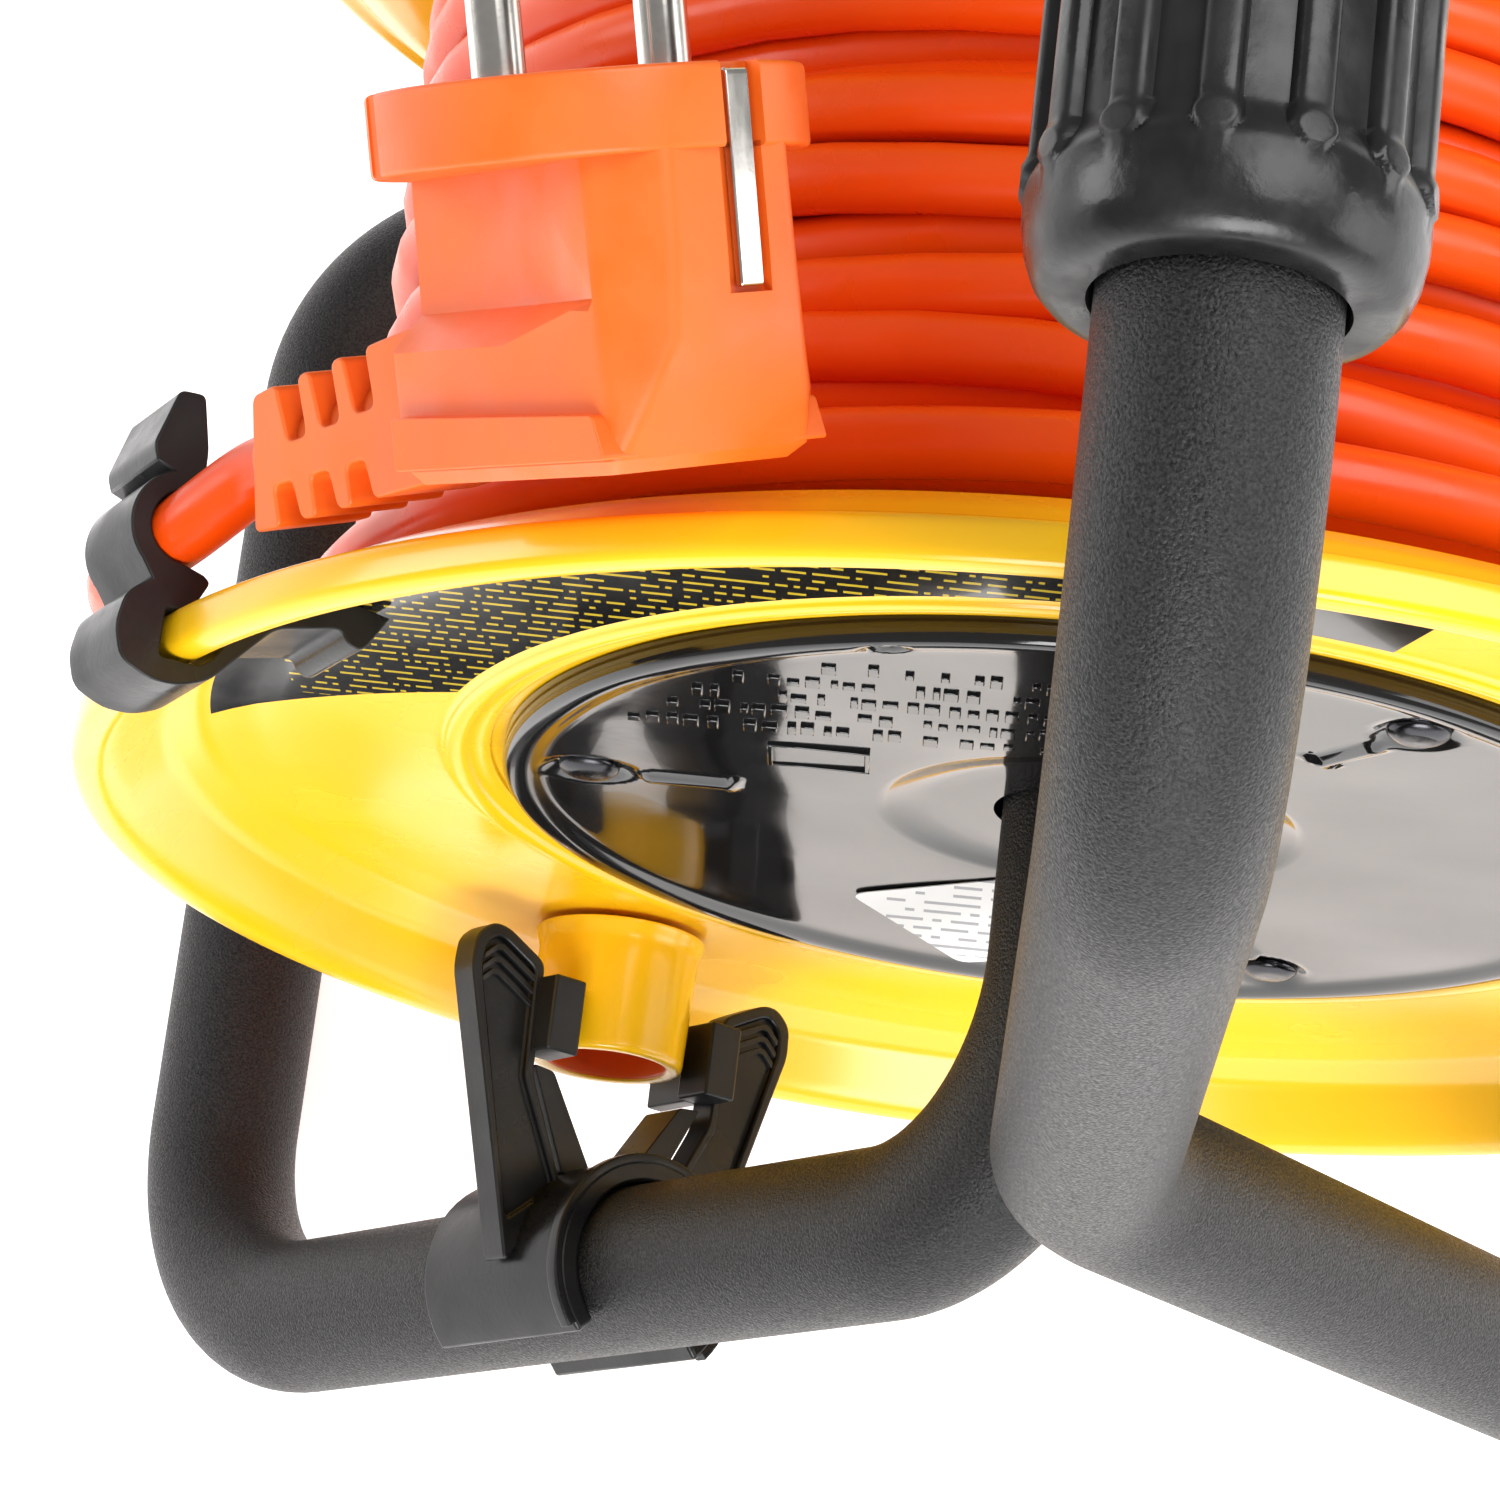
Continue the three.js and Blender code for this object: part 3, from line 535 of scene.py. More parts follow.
def carve(obj, shape, where):
    """Cuts the shape out of obj."""
    cutter = add_piece(obj.name + "_cutter", *shape, where, "frame", "frame", BLACK)
    bpy.context.view_layer.update()
    m = obj.modifiers.new("carve", "BOOLEAN")
    m.object = cutter
    m.solver = "EXACT"
    graph = bpy.context.evaluated_depsgraph_get()
    mesh = bpy.data.meshes.new_from_object(obj.evaluated_get(graph))
    obj.modifiers.clear()
    obj.data = mesh
    bpy.data.objects.remove(cutter)
    shade_smooth(mesh, 32)
    return obj


# ------------------------------------------------------------ frame tubes


def bent_line(corners, radii, bend_steps=26, straight_step=12.0):
    """Points and tangents along a polyline with rounded corners."""
    pts = [Vector(c) for c in corners]
    stations = [(pts[0], (pts[1] - pts[0]).normalized())]
    for i in range(1, len(pts) - 1):
        a = (pts[i] - pts[i - 1]).normalized()
        b = (pts[i + 1] - pts[i]).normalized()
        turn = a.angle(b)
        r = radii[i - 1]
        start = pts[i] - a * (r * math.tan(turn / 2))
        run = start - stations[-1][0]
        for k in range(1, max(1, int(run.length / straight_step))):
            stations.append((stations[-1][0] + a * straight_step, a))
        side = (b - a * a.dot(b)).normalized()
        for k in range(bend_steps + 1):
            w = turn * k / bend_steps
            p = start + a * (r * math.sin(w)) + side * (r * (1 - math.cos(w)))
            stations.append((p, a * math.cos(w) + side * math.sin(w)))
    stations.append((pts[-1], (pts[-1] - pts[-2]).normalized()))
    return stations


def swept_tube(stations, outer, wall, segments=48):
    """An open-ended tube with a wall along the stations."""
    normal = Vector((0, 0, 1))
    before = stations[0][1]
    axes = []
    for p, along in stations:
        normal = before.rotation_difference(along) @ normal
        before = along
        axes.append((p, normal.copy(), along.cross(normal)))
    verts = []
    for radius in (outer, outer - wall):
        for p, up, side in axes:
            for k in range(segments):
                w = 2 * math.pi * (k + 0.5) / segments
                verts.append(tuple(p + (up * math.cos(w) + side * math.sin(w)) * radius))
    rings = [range(start, start + segments) for start in range(0, len(verts), segments)]
    outside, inside = rings[:len(axes)], rings[len(axes):]
    return verts, skin(outside + inside[::-1])


def build_frame():
    left = [
        (-HALF_SEAM, FRONT_Y, FLOOR_Z), (-FOOT_X, FRONT_Y, FLOOR_Z), (-FOOT_X, ARM_Y, FLOOR_Z),
        (HUB.x, ARM_Y, HUB.z), (HUB.x, AXLE_END_Y, HUB.z),
    ]
    right = [
        (HALF_SEAM, FRONT_Y, FLOOR_Z), (FOOT_X, FRONT_Y, FLOOR_Z), (FOOT_X, ARM_Y, FLOOR_Z),
        (0, ARM_Y, UPRIGHT_FOOT_Z), (0, ARM_Y, HANDLE_Z), (0, HANDLE_END_Y, HANDLE_Z),
    ]
    base = [BASE_BEND] * 3
    for side, corners, bends in (("left", left, base), ("right", right, base + [HANDLE_BEND])):
        tube = swept_tube(bent_line(corners, bends), TUBE_R, TUBE_WALL)
        piece = add_piece(f"tube_{side}", *tube, ROW, "frame", "frame", POWDER)
        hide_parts(f"frame_tube_{side}")


# ------------------------------------------------------------------- grip


def smooth_step(x, low, high):
    t = min(1.0, max(0.0, (x - low) / (high - low)))
    return t * t * (3 - 2 * t)


def grip_radius(y, turn):
    """Radius of the grip's ribbed length; `turn` counts ribs."""
    across = ((turn + 0.5) % 1.0 - 0.5) * 7.2
    land = GRIP_R - 1.5 * smooth_step(y, 10.4, 14.5) + 1.3 * smooth_step(y, 117.0, 120.0)
    rib = 1.45 * math.sqrt(max(0.0, 1 - (across / 1.75) ** 4))
    rib *= smooth_step(y, 12.6, 13.4) * (1 - smooth_step(y, 117.5, 118.5))
    nub = 1.6 * math.sqrt(max(0.0, 1 - (across / 2.0) ** 2 - ((y - 12.9) / 2.3) ** 2))
    return min(GRIP_R + 0.35 * (nub > 0), land + max(rib, nub))


def build_grip():
    """Rubber grip: ribs lengthwise, each with a rounded nub at its end."""
    columns = GRIP_RIBS * RIB_COLUMNS
    ribbed = [10.8 + 0.3 * k for k in range(18)] + [16.5 + 2.0 * k for k in range(50)]
    ribbed = [y for y in ribbed if y < 118.5] + [118.5, 119.5, 120.2]
    rows = [
        (10.2, 3.4), (10.4, 3.0), (12.6, 3.0), (13.8, 3.3), (14.8, 4.4), (15.5, 6.2),
        (15.9, 8.4), (GRIP_R, 10.3),
    ]
    rows += [(None, y) for y in ribbed]     # no radius: grip_radius gives it
    rows += [
        (15.4, 122.0), (14.6, 124.0), (12.8, 125.4), (10.0, GRIP_END), (0.0, GRIP_END),
        (0.0, 121.0), (10.2, 121.0),
    ]
    verts, rings = [], []
    for base, y in rows:
        if base == 0.0:
            rings.append([len(verts)] * columns)
            verts.append((0, y, 0))
            continue
        rings.append(list(range(len(verts), len(verts) + columns)))
        for k in range(columns):
            w = 2 * math.pi * k / columns + math.radians(RIB_OFFSET)
            radius = base if base is not None else grip_radius(y, k / RIB_COLUMNS)
            verts.append((radius * math.sin(w), y, radius * math.cos(w)))
    where = Matrix.Translation((0, HUB.y, HANDLE_Z))
    piece = add_piece("grip", verts, skin(rings), where, "frame", "grip_rubber", RUBBER, 50)
    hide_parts("handle_grip")


# ------------------------------------------------------------------- drum

# [radius, y] of a half's outer face and of the face that the cord lies against
RIM = [
    (RIM_R, 1.2), (RIM_R - 0.6, 0.3), (RIM_R - 1.8, 0.0), (RIM_R - 3.4, 0.3), (RIM_R - 4.7, 1.6),
    (RIM_R - 8.5, 7.6), (RIM_R - 12.2, 9.9), (RIM_R - 18, DISH),
    (71.4, DISH), (70.9, DISH - 0.8), (68.9, DISH - 0.8), (68.4, DISH),
]
WIND_SIDE = [
    (BARREL_R, 13.0), (RIM_R - 22, 12.9), (RIM_R - 16, 12.3), (RIM_R - 12, 11.3),
    (RIM_R - 7.5, 8.6), (RIM_R - 4, 5.4), (RIM_R - 0.8, 5.0), (RIM_R, 4.2),
]


def build_drum_halves():
    inner = BARREL_R - BARREL_WALL
    rear = RIM + [
        (66.2, DISH), (66.2, 11.5), (inner, 11.5), (inner, 18.0), (14.9, 18.0), (14.9, 15.6),
        (12.3, 15.6), (12.3, 62.0), (14.9, 62.0), (14.9, 20.5), (inner, 20.5),
        (inner, SPLIT_Y), (BARREL_R, SPLIT_Y),
    ] + WIND_SIDE

    def flip(points):
        return [(r, DRUM_LENGTH - y) for r, y in points]

    front = flip(RIM) + [
        (67.2, 113.0), (67.2, 112.4), (inner, 112.4), (inner, SPLIT_Y + 0.3),
        (BARREL_R, SPLIT_Y + 0.3),
    ] + flip(WIND_SIDE)
    for side, outline in (("rear", rear), ("front", front)):
        half = lathe(soften(outline, 1.2), DRUM_SEGMENTS)
        piece = add_piece(f"flange_{side}", *half, DRUM, "drum", "drum_yellow", YELLOW)
        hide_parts(f"drum_{side}")


def build_flange_label():
    """Thin printed sector on the dished ring, from 9 o'clock over the top."""
    inner, outer, right_edge = 72.2, 96.5, 21.0
    columns, rows = 90, 10
    outer_side, under_side = 0.14, 0.02     # heights above the flange

    def point(i, j, lift):
        t = j / rows
        r = inner + (outer - inner) * t
        left_edge = -70.9 - 14.4 * t
        x, z = around(left_edge + (right_edge - left_edge) * i / columns, r)
        dish = DISH - 0.55 * max(0.0, (r - 92.5) / 5.5)     # the flange falls off outside
        return x, dish - lift, z

    verts, rings = [], []
    for i in range(columns + 1):
        start = len(verts)
        verts += [point(i, j, outer_side) for j in range(rows + 1)]
        verts += [point(i, j, under_side) for j in range(rows, -1, -1)]
        rings.append(list(range(start, len(verts))))
    faces = skin(rings, False)
    for ring in (rings[0], rings[-1]):
        faces += [[ring[j], ring[j + 1], ring[-2 - j], ring[-1 - j]] for j in range(rows)]
    add_piece("flange_label", verts, faces, DRUM, "drum", "cover_gloss", FLANGE_LABEL)


# [radius, y] of the cap's outer face, then of its edge and back
COVER_FACE = [
    (10.8, 14.2), (14.8, 14.1), (15.2, 13.9), (22.3, 10.8), (22.8, 10.4), (24.0, 10.3),
    (40, 9.9), (58.5, 9.35), (60.2, 9.25), (61.2, 8.75), (62.2, 8.35), (63.4, 8.3),
    (64.3, 8.5), (COVER_R, 9.1),
]
COVER_BACK = [
    (COVER_R, 11.2), (62.5, 11.2), (62.5, 11.0), (24.0, 12.4), (15.2, 15.2), (10.8, 15.2),
]


def cover_height(r):
    """Y of the cap's outer face at a radius."""
    for (r0, y0), (r1, y1) in zip(COVER_FACE, COVER_FACE[1:]):
        if r <= r1:
            return y0 + (y1 - y0) * (r - r0) / (r1 - r0)
    return COVER_FACE[-1][1]


def cover_relief(x, z):
    """Pressed details of the cap: dimples at the screws, ribs beside them, a notch."""
    depth = 0.0
    for angle in COVER_SCREW_ANGLES:
        sx, sz = around(angle, 1.0)
        along = x * sx + z * sz
        across = x * sz - z * sx
        d = math.hypot((along - COVER_SCREW_AT) / 5.2, across / 4.2)
        depth += 1.0 * (1 - smooth_step(d, 0.62, 1.12))
        reach = max(abs(along - 44.6) - 4.2, 0.0)
        rib = math.hypot(reach, max(abs(across) - 0.5, 0.0))
        depth -= 0.75 * (1 - smooth_step(rib, 0.1, 0.8))
        tee = math.hypot(max(abs(along - 39.6) - 0.2, 0.0), max(abs(across) - 1.7, 0.0))
        depth -= 0.6 * (1 - smooth_step(tee, 0.1, 0.7))
    nx, nz = around(-22.0, 61.8)
    depth += 1.3 * (1 - smooth_step(math.hypot(x - nx, z - nz), 1.4, 2.6))
    wave = noise.noise(Vector((x * 0.045, z * 0.045, 3.0)))
    return depth + 0.22 * wave


def build_cover():
    radii = [10.8, 12.6, 14.8, 15.2, 18.0, 22.3, 22.8, 24.0]
    radii += [26 + 2.0 * k for k in range(5)]
    radii += [35.5 + 0.62 * k for k in range(40)]
    radii += [60.4, 60.9, 61.4, 61.9, 62.4, 63.0, 63.6, 64.2, COVER_R]
    columns = 420
    deepest = 11.15
    verts = []
    for r in radii:
        calm = smooth_step(r, 23, 30) * (1 - smooth_step(r, 62.5, 63.6))
        for k in range(columns):
            x, z = around(360 * k / columns, r)
            verts.append((x, min(deepest, cover_height(r) + calm * cover_relief(x, z)), z))
    for r, y in COVER_BACK:
        for k in range(columns):
            x, z = around(360 * k / columns, r)
            verts.append((x, y, z))
    rings = [range(start, start + columns) for start in range(0, len(verts), columns)]
    piece = add_piece(
        "cover", verts, skin(rings), DRUM, "drum", "cover_gloss", GLOSS, 60)
    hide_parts("rear_cover")


def build_cover_screws():
    """Cross-slotted screws, each turned to an angle of its own."""
    head = soft_lathe([
        (0, 8.6), (2.2, 8.7), (3.3, 9.4), (3.4, 10.2), (1.6, 10.2), (1.6, 15), (0, 15)], 0.5, 40)
    slots = joined(block(-2.1, 2.1, 7, 9.6, -0.42, 0.42), block(-0.42, 0.42, 7.02, 9.58, -2.1, 2.1))
    for i, angle in enumerate(COVER_SCREW_ANGLES):
        x, z = around(angle, COVER_SCREW_AT)
        where = DRUM @ Matrix.Translation((x, 0, z)) @ Matrix.Rotation(angle * 0.7, 4, "Y")
        piece = add_piece(f"cap_screw_{i + 1}", *head, where, "drum", "zinc_steel", DARK_SCREW)
        carve(piece, slots, where)
        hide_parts(f"cover_screw_{i + 1}")


def build_embossing():
    """Rows of small raised bars on the left of the cap, and a plain frame below them."""
    field_r, gap = 57.5, 0.7
    shapes = []
    for z in (47.5, 41.8, 36.2, 30.6, 25.0):
        x = -math.sqrt(field_r**2 - z**2) + RANDOM.uniform(1, 4)
        while x < 0.0:
            width = RANDOM.uniform(0.7, 1.7)
            height = RANDOM.choice((2.6, 2.6, 1.4))
            if RANDOM.random() > 0.14:
                shapes.append(raised_bar(x, z + RANDOM.choice((-0.3, 0.0, 0.3)), width, height))
            x += width + gap
    for z in (3.4, -3.4):
        shapes.append(raised_bar(-30, 15 + z, 11, 0.5))
    for x in (-5.2, 5.2):
        shapes.append(raised_bar(-30 + x, 15, 0.6, 6.8))
    verts, faces = joined(*shapes)
    piece = add_piece("cover_embossing", verts, faces, DRUM, "drum", "cover_gloss", GLOSS)
    bevel(piece, 0.12, 2)


def raised_bar(x, z, width, height):
    """A bar with its centre at x, z that follows the cap's face."""
    y = cover_height(math.hypot(x, z)) - 0.05
    return block(x - width / 2, x + width / 2, y - 0.28, y + 0.6, z - height / 2, z + height / 2)


def build_paper_label():
    """Small paper sticker on the cap, in rings so that it follows the cap's slope."""
    corner, size = Vector((-26.4, -35.3)), (27.0, 27.5)
    long_side, short_side = Vector((0.85, 0.53)), Vector((0.5, -0.866))
    outline = []
    for u, v in soften([(0, 0), (size[0], 0), size, (0, size[1])], 2.2):
        outline.append(corner + long_side * u + short_side * v)
    n = len(outline)
    middle = Vector((sum(p.x for p in outline) / n, sum(p.y for p in outline) / n))
    verts = []
    steps = 12
    for lift in (0.30, 0.18):
        for k in range(steps):
            for edge in outline:
                p = middle.lerp(edge, (k + 1) / steps)
                flat = 9.9 + (9.35 - 9.9) * (p.length - 40) / 18.5
                verts.append((p.x, flat - lift, p.y))
    rings = [list(range(start, start + n)) for start in range(0, len(verts), n)]
    front, back = rings[:steps], rings[steps:]
    faces = skin(front + back[::-1], False) + [front[0][::-1], back[0]]
    add_piece("paper_label", verts, faces, DRUM, "drum", "terminal_white", PAPER)


def build_knob():
    x, z = around(KNOB_ANGLE, KNOB_AT)
    where = DRUM @ Matrix.Translation((x, 0, z))
    knob = lathe(soften([
        (7.4, -6.7), (9.0, -6.7), (9.4, -6.2), (9.8, 7.6), (10.4, 9.2), (10.4, 9.6), (5.6, 9.6),
        (5.6, 2.9), (7.2, 2.9),
    ], 0.7), 96)
    piece = add_piece("winding_knob", *knob, where, "crank_knob", "drum_yellow", YELLOW)
    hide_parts("crank_knob")
    # painted shade: an orange-red sheet lining the knob's hollow, where there is only shade and
    # interreflected yellow light
    liner = lathe(soften([(7.3, -6.2), (7.7, -6.6), (7.7, 3.4), (6.9, 3.4)], 0.2), 64)
    add_piece("knob_painted_shade_liner", *liner, where, "crank_knob", "orange_plastic", KNOB_PAINTED_SHADE)
    # the core's orange-red is the same painted shade and interreflection of the knob's hollow
    core = soft_lathe([
        (0, -0.2), (4.6, 0.2), (6.6, 1.4), (6.6, 2.6), (2.7, 2.6), (2.7, 12.0), (0, 12.0),
    ], 0.5, 64)
    piece = add_piece("knob_core", *core, where, "drum", "orange_plastic", KNOB_PAINTED_SHADE)
    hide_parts("knob_rivet")


# ------------------------------------------------------- lock and clip


def build_lock():
    """Sliding fork: C-sleeve on the arm, two finned prongs across it."""
    where = lock_frame()
    inner, outer, opening = 10.15, 12.8, 42.0
    half = LOCK_LENGTH / 2
    arc = [opening + (360 - 2 * opening) * k / 40 for k in range(41)]
    outline = [around(a, -outer) for a in arc] + [around(a, -inner) for a in reversed(arc)]
    sleeve = black_piece("lock_sleeve", prism(outline, -half, half), where, "drum_lock")
    bevel(sleeve, 0.5)
    rim = soften([(12.4, 11.6), (13.6, 12.2), (13.6, half), (12.4, half)], 0.3)
    sections = []
    for k in range(49):
        angle = 48 + 264 * k / 48
        sections.append([(*around(angle, -r), z) for r, z in rim])
    bevel(black_piece("lock_rim", loft(sections), where, "drum_lock"), 0.1)
    for side, name in ((1, "a"), (-1, "b")):
        build_prong(name, side, where)
    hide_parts("drum_lock")


# Outline of a prong and of the field that is sunk into it, [across, up the arm]
PRONG = [
    (14.0, -1.6), (24.2, 32.6), (24.0, 36.4), (21.8, 38.3), (19.6, 38.2), (13.8, 35.2),
    (13.4, 21.5), (7.5, 9.5),
]
PRONG_FIELD = [
    (14.6, 3.5), (22.7, 32.6), (22.5, 35.4), (21.0, 36.8), (19.8, 36.7), (15.0, 34.2),
    (14.6, 21.0), (8.2, 9.0),
]


def build_prong(name, side, where):
    """Thin plate with a raised edge, a square hook, a wedge rib and steps under its tip."""
    def mirrored(points, radius):
        return [(side * x, y) for x, y in soften(points, radius)]

    def piece(label, outline, z0, z1, edge=0.3):
        made = black_piece(f"lock_{label}_{name}", prism(outline, z0, z1), where, "drum_lock")
        return bevel(made, edge, 2)

    plate = black_piece(
        f"lock_prong_{name}", prism(mirrored(PRONG, 1.2), 0.6, 4.7), where, "drum_lock")
    carve(plate, prism(mirrored(PRONG_FIELD, 0.9), 3.8, 7), where)
    bevel(plate, 0.3, 2)
    hook = [(14.2, 24.2), (14.2, 33.4), (9.7, 33.4), (9.7, 24.2)]
    wedge = [(12.6, 23.2), (9.6, 22.9), (2.6, 12.2), (6.6, 11.0)]
    tooth = [(14.4, 24.6), (14.4, 31.0), (12.0, 31.0), (12.0, 24.6)]
    piece("hook", mirrored(hook, 0.4), 2.2, 8.0)
    piece("wedge", mirrored(wedge, 0.5), -3.5, 3.4)
    piece("tooth", mirrored(tooth, 0.4), -7, 1)
    for k in range(3):
        drop = 1.5 * k
        step = [
            (14.7, 33.2 - drop), (19.9, 35.9 - drop), (20.9, 35.8 - drop), (22.5, 34.3 - drop),
            (22.4, 33.7 - drop), (20.7, 35.1 - drop), (20.0, 35.2 - drop), (14.7, 32.5 - drop),
        ]
        piece(f"step_{k}", mirrored(step, 0.15), 3.5, 4.6 - 0.15 * k, 0.12)


# [radius, y] of the cord where the clip holds it
CLIP_CORD = (109.6, 13.2)


def build_clip():
    """Snap clip on the rear rim: its outline is [radius, y]."""
    cr, cy = CLIP_CORD

    def arc(r, start, end, count):
        out = []
        for k in range(count + 1):
            a = math.radians(start + (end - start) * k / count)
            out.append((cr + r * math.cos(a), cy + r * math.sin(a)))
        return out

    outline = soften([
        (87.2, 9.6), (89.6, 5.4), (91.4, 5.8), (92.2, 7.2), (99, 5.4), (105, -1.6), (108, -2.9),
        (111, -3), (114.4, -1.6), (115.4, 1.6), (114.8, 5.2), (112.4, 7.2)], 1.2, loop=False)
    outline += arc(5.9, -46, 66, 24)
    outline += soften([(113.8, 19.2), (114.4, 20.8), (112.6, 27.0), (109.9, 27.2), (108.7, 21.6),
                       (108.6, 18.4)], 0.7, loop=False)
    outline += arc(CORD_R + 0.25, 108, -90, 28)
    outline += soften([
        (107.2, 8.8), (106.4, 8.2), (108, 4.7), (110.5, 4.7), (110.5, -0.4), (106.2, -0.4),
        (104.9, 0.8), (101.2, 7.1), (98, 8.9), (91, 10.0)], 0.6, loop=False)
    turn = Matrix.Rotation(math.radians(CLIP_ANGLE - 90), 4, "Y")
    piece = black_piece("rim_clip", prism(outline, -6.5, 6.5), DRUM @ turn, sharp=30)
    bevel(piece, 0.45, 3, 50)
    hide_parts("cord_clip")


# ------------------------------------------------------------------- cord

# Layers from the barrel outwards: y runs from first to last, spread is how far turns wander
LAYERS = (
    dict(radius=64.1, turns=10.6, first=31.0, last=105.6, spread=1.2),
    dict(radius=69.8, turns=11.2, first=105.6, last=17.6, spread=2.4),
    dict(radius=75.4, turns=11.4, first=17.6, last=105.6, spread=4.0),
    dict(radius=80.6, turns=10.6, first=105.6, last=19.0, spread=6.5),
)
WIND_FROM, WIND_TO = 17.6, 106.0
# [angle, radius, y] of the free end, from the last turn through the clip
TAIL = (
    (240, 88.9, 22.5), (252, 92.5, 21.5), (264, 97.5, 19.8), (277, 104, 17), (288, 108.4, 14.4),
    (295.5, 109.8, 13.3), (299, 109.6, 13.2), (302.5, 109.8, 13.3),
)
STEP_ANGLE = 7.5
LEAD_ANGLE = 130        # at least this much turn between the winding and the tail
LEAD_STEP = 15


def relief_point(distance):
    """Point on the strain relief's axis, at a distance from its start."""
    tilt = math.radians(RELIEF_TILT)
    along = Vector((-distance * math.cos(tilt), -distance * math.sin(tilt), 0))
    return PLUG @ (RELIEF_START + along)


def smooth_through(points, per_span=8):
    """Catmull-Rom through the points."""
    out = []
    ends = [points[0] * 2 - points[1]] + list(points) + [points[-1] * 2 - points[-2]]
    for a, b, c, d in zip(ends, ends[1:], ends[2:], ends[3:]):
        for k in range(per_span):
            t = k / per_span
            out.append(0.5 * ((2 * b) + (c - a) * t + (2 * a - 5 * b + 4 * c - d) * t * t
                              + (3 * b - a - 3 * c + d) * t**3))
    out.append(points[-1])
    return out


def winding_points(trim):
    """[angle, radius, y] of the wound cord; `trim` shortens the last layer, in turns."""
    points = []
    angle = GLAND[0]
    for index, layer in enumerate(LAYERS):
        turns = layer["turns"] - (trim if layer is LAYERS[-1] else 0.0)
        steps = int(round(turns * 360 / STEP_ANGLE))
        for k in range(steps):
            t = k / steps
            y = layer["first"] + (layer["last"] - layer["first"]) * t
            loose = min(1.0, 8 * t, 8 * (1 - t))
            turn = math.radians(angle)
            sway = noise.noise(Vector((turn * 0.55, y * 0.055, index * 5.0)))
            lift = noise.noise(Vector((turn * 1.3, y * 0.3, index * 7.0 + 40)))
            y = min(WIND_TO, max(WIND_FROM, y + loose * layer["spread"] * sway))
            points.append((angle, layer["radius"] + 0.35 * lift * loose, y))
            angle += STEP_ANGLE
    return points


def to_drum(angle, radius, y):
    x, z = around(angle, radius)
    return Vector((x, y, z)) + HUB


def cord_points(trim):
    """The whole cord: gland, winding, lead to the clip, and the tail into the plug."""
    wound = winding_points(trim)
    line = []
    for i, (angle, r, y) in enumerate(wound):
        if i < 8:   # the cord rises out of the gland
            r = min(r, 61.9 + 0.35 * i)
        line.append(to_drum(angle, r, y))
    last_angle, last_r, last_y = wound[-1]
    tail_angle, _, tail_y = TAIL[0]
    finish = tail_angle + 360 * math.ceil((last_angle + LEAD_ANGLE - tail_angle) / 360)
    steps = int((finish - last_angle) / LEAD_STEP)
    lead = []
    for k in range(1, steps):
        t = k / steps
        angle = last_angle + (finish - last_angle) * t
        r = last_r + 5.0 * smooth_step(t, 0, 0.3) + 2.6 * smooth_step(t, 0.35, 1)
        lead.append(to_drum(angle, r, last_y + (tail_y - last_y) * smooth_step(t, 0, 1)))
    tail = [to_drum(*point) for point in TAIL]
    tail += [relief_point(RELIEF_LENGTH + 5), relief_point(RELIEF_LENGTH - 4)]
    return line + smooth_through([line[-1], *lead, *tail])[1:]


def length_of(points):
    return sum((b - a).length for a, b in zip(points, points[1:])) * MM


def build_cord():
    """One line from gland to plug; the last layer is trimmed until the length is right."""
    low, high = -4.0, 8.0
    for _ in range(18):
        trim = (low + high) / 2
        if length_of(cord_points(trim)) > CORD_LENGTH:
            low = trim
        else:
            high = trim
    points = cord_points(trim)
    curve = bpy.data.curves.new("cord", "CURVE")
    curve.dimensions = "3D"
    curve.bevel_depth = CORD_R * MM
    curve.bevel_resolution = 6
    curve.use_fill_caps = True
    spline = curve.splines.new("POLY")
    spline.points.add(len(points) - 1)
    for p, v in zip(spline.points, points):
        p.co = (*(v * MM), 1.0)
    spline.use_smooth = True
    curve.materials.append(SHEATH)
    cord = in_scene("cord", curve)
    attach(cord, "drum")
    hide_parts("cord_winding", "cord_tail")
    return cord


# ------------------------------------------------------------------- plug


def build_plug():
    collar = orange_piece("plug_collar", soft_lathe([
        (0, -COLLAR_DEPTH), (COLLAR_R, -COLLAR_DEPTH), (COLLAR_R, 0), (0, 0)], 0.6, 128), PLUG)
    for side in (-1, 1):
        earth = side * 17.6
        carve(collar, block(-9.4, -6.6, -12, 4, earth - 0.7, earth + 3), PLUG)
        carve(collar, keyway(side, -12, 4), PLUG)
        carve(collar, moved(rod(PIN_HOLE_R, -5, 4, 40), z=side * PIN_AT), PLUG)
    bevel(collar, 0.25, 2, 40)
    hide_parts("plug_body")

    def section(y, nose_x, nose, ridge_x, ridge, left):
        half = [(nose_x, nose), (ridge_x, ridge), (left, ridge - 0.2)]
        ring = soften(half + [(x, -z) for x, z in half[::-1]], 1.0, 3)
        return [(x, y, z) for x, z in ring]

    body = orange_piece("plug_grip", loft([
        section(-6.9, 18.4, 6.8, 12.5, 11.4, -16.4),
        section(-16.0, 18.4, 6.9, 12.6, 11.5, -16.6),
        section(-23.2, 18.2, 7.2, 13.0, 11.7, -16.8),
        section(-28.6, 16.0, 9.2, 13.6, 11.6, -16.8),
        section(-33.4, 13.4, 10.9, 12.4, 11.3, -16.4),
        section(-34.6, 11.6, 10.0, 10.6, 10.4, -15.6),
    ]), PLUG, 28)
    pocket = [(12.4, 11.5), (-0.3, 7.6), (-20, 7.6), (-20, 16), (12.4, 16)]
    shallow = [(12.4, 11.9), (-0.3, 11.9), (-20, 11.9), (-20, 16), (12.4, 16)]
    for side in (-1, 1):
        cutter = loft([
            [(x, y, side * z) for x, z in outline]
            for y, outline in ((-5.0, pocket), (-19.4, pocket), (-23.0, shallow))
        ])
        carve(body, cutter, PLUG)
        carve(body, keyway(side, -19.9, 0), PLUG)
    bevel(body, 0.7, 3, 24)

    ledge = soften([(-15.8, -28.4), (12.6, -29.3), (13.8, -33.2), (-15.8, -33.2)], 0.5)
    for side, name in ((-1, "a"), (1, "b")):
        foot = orange_piece(f"plug_foot_{name}", prism(ledge, side * 12.9, side * 9), PLUG)
        bevel(foot, 0.9, 3)
    build_relief()


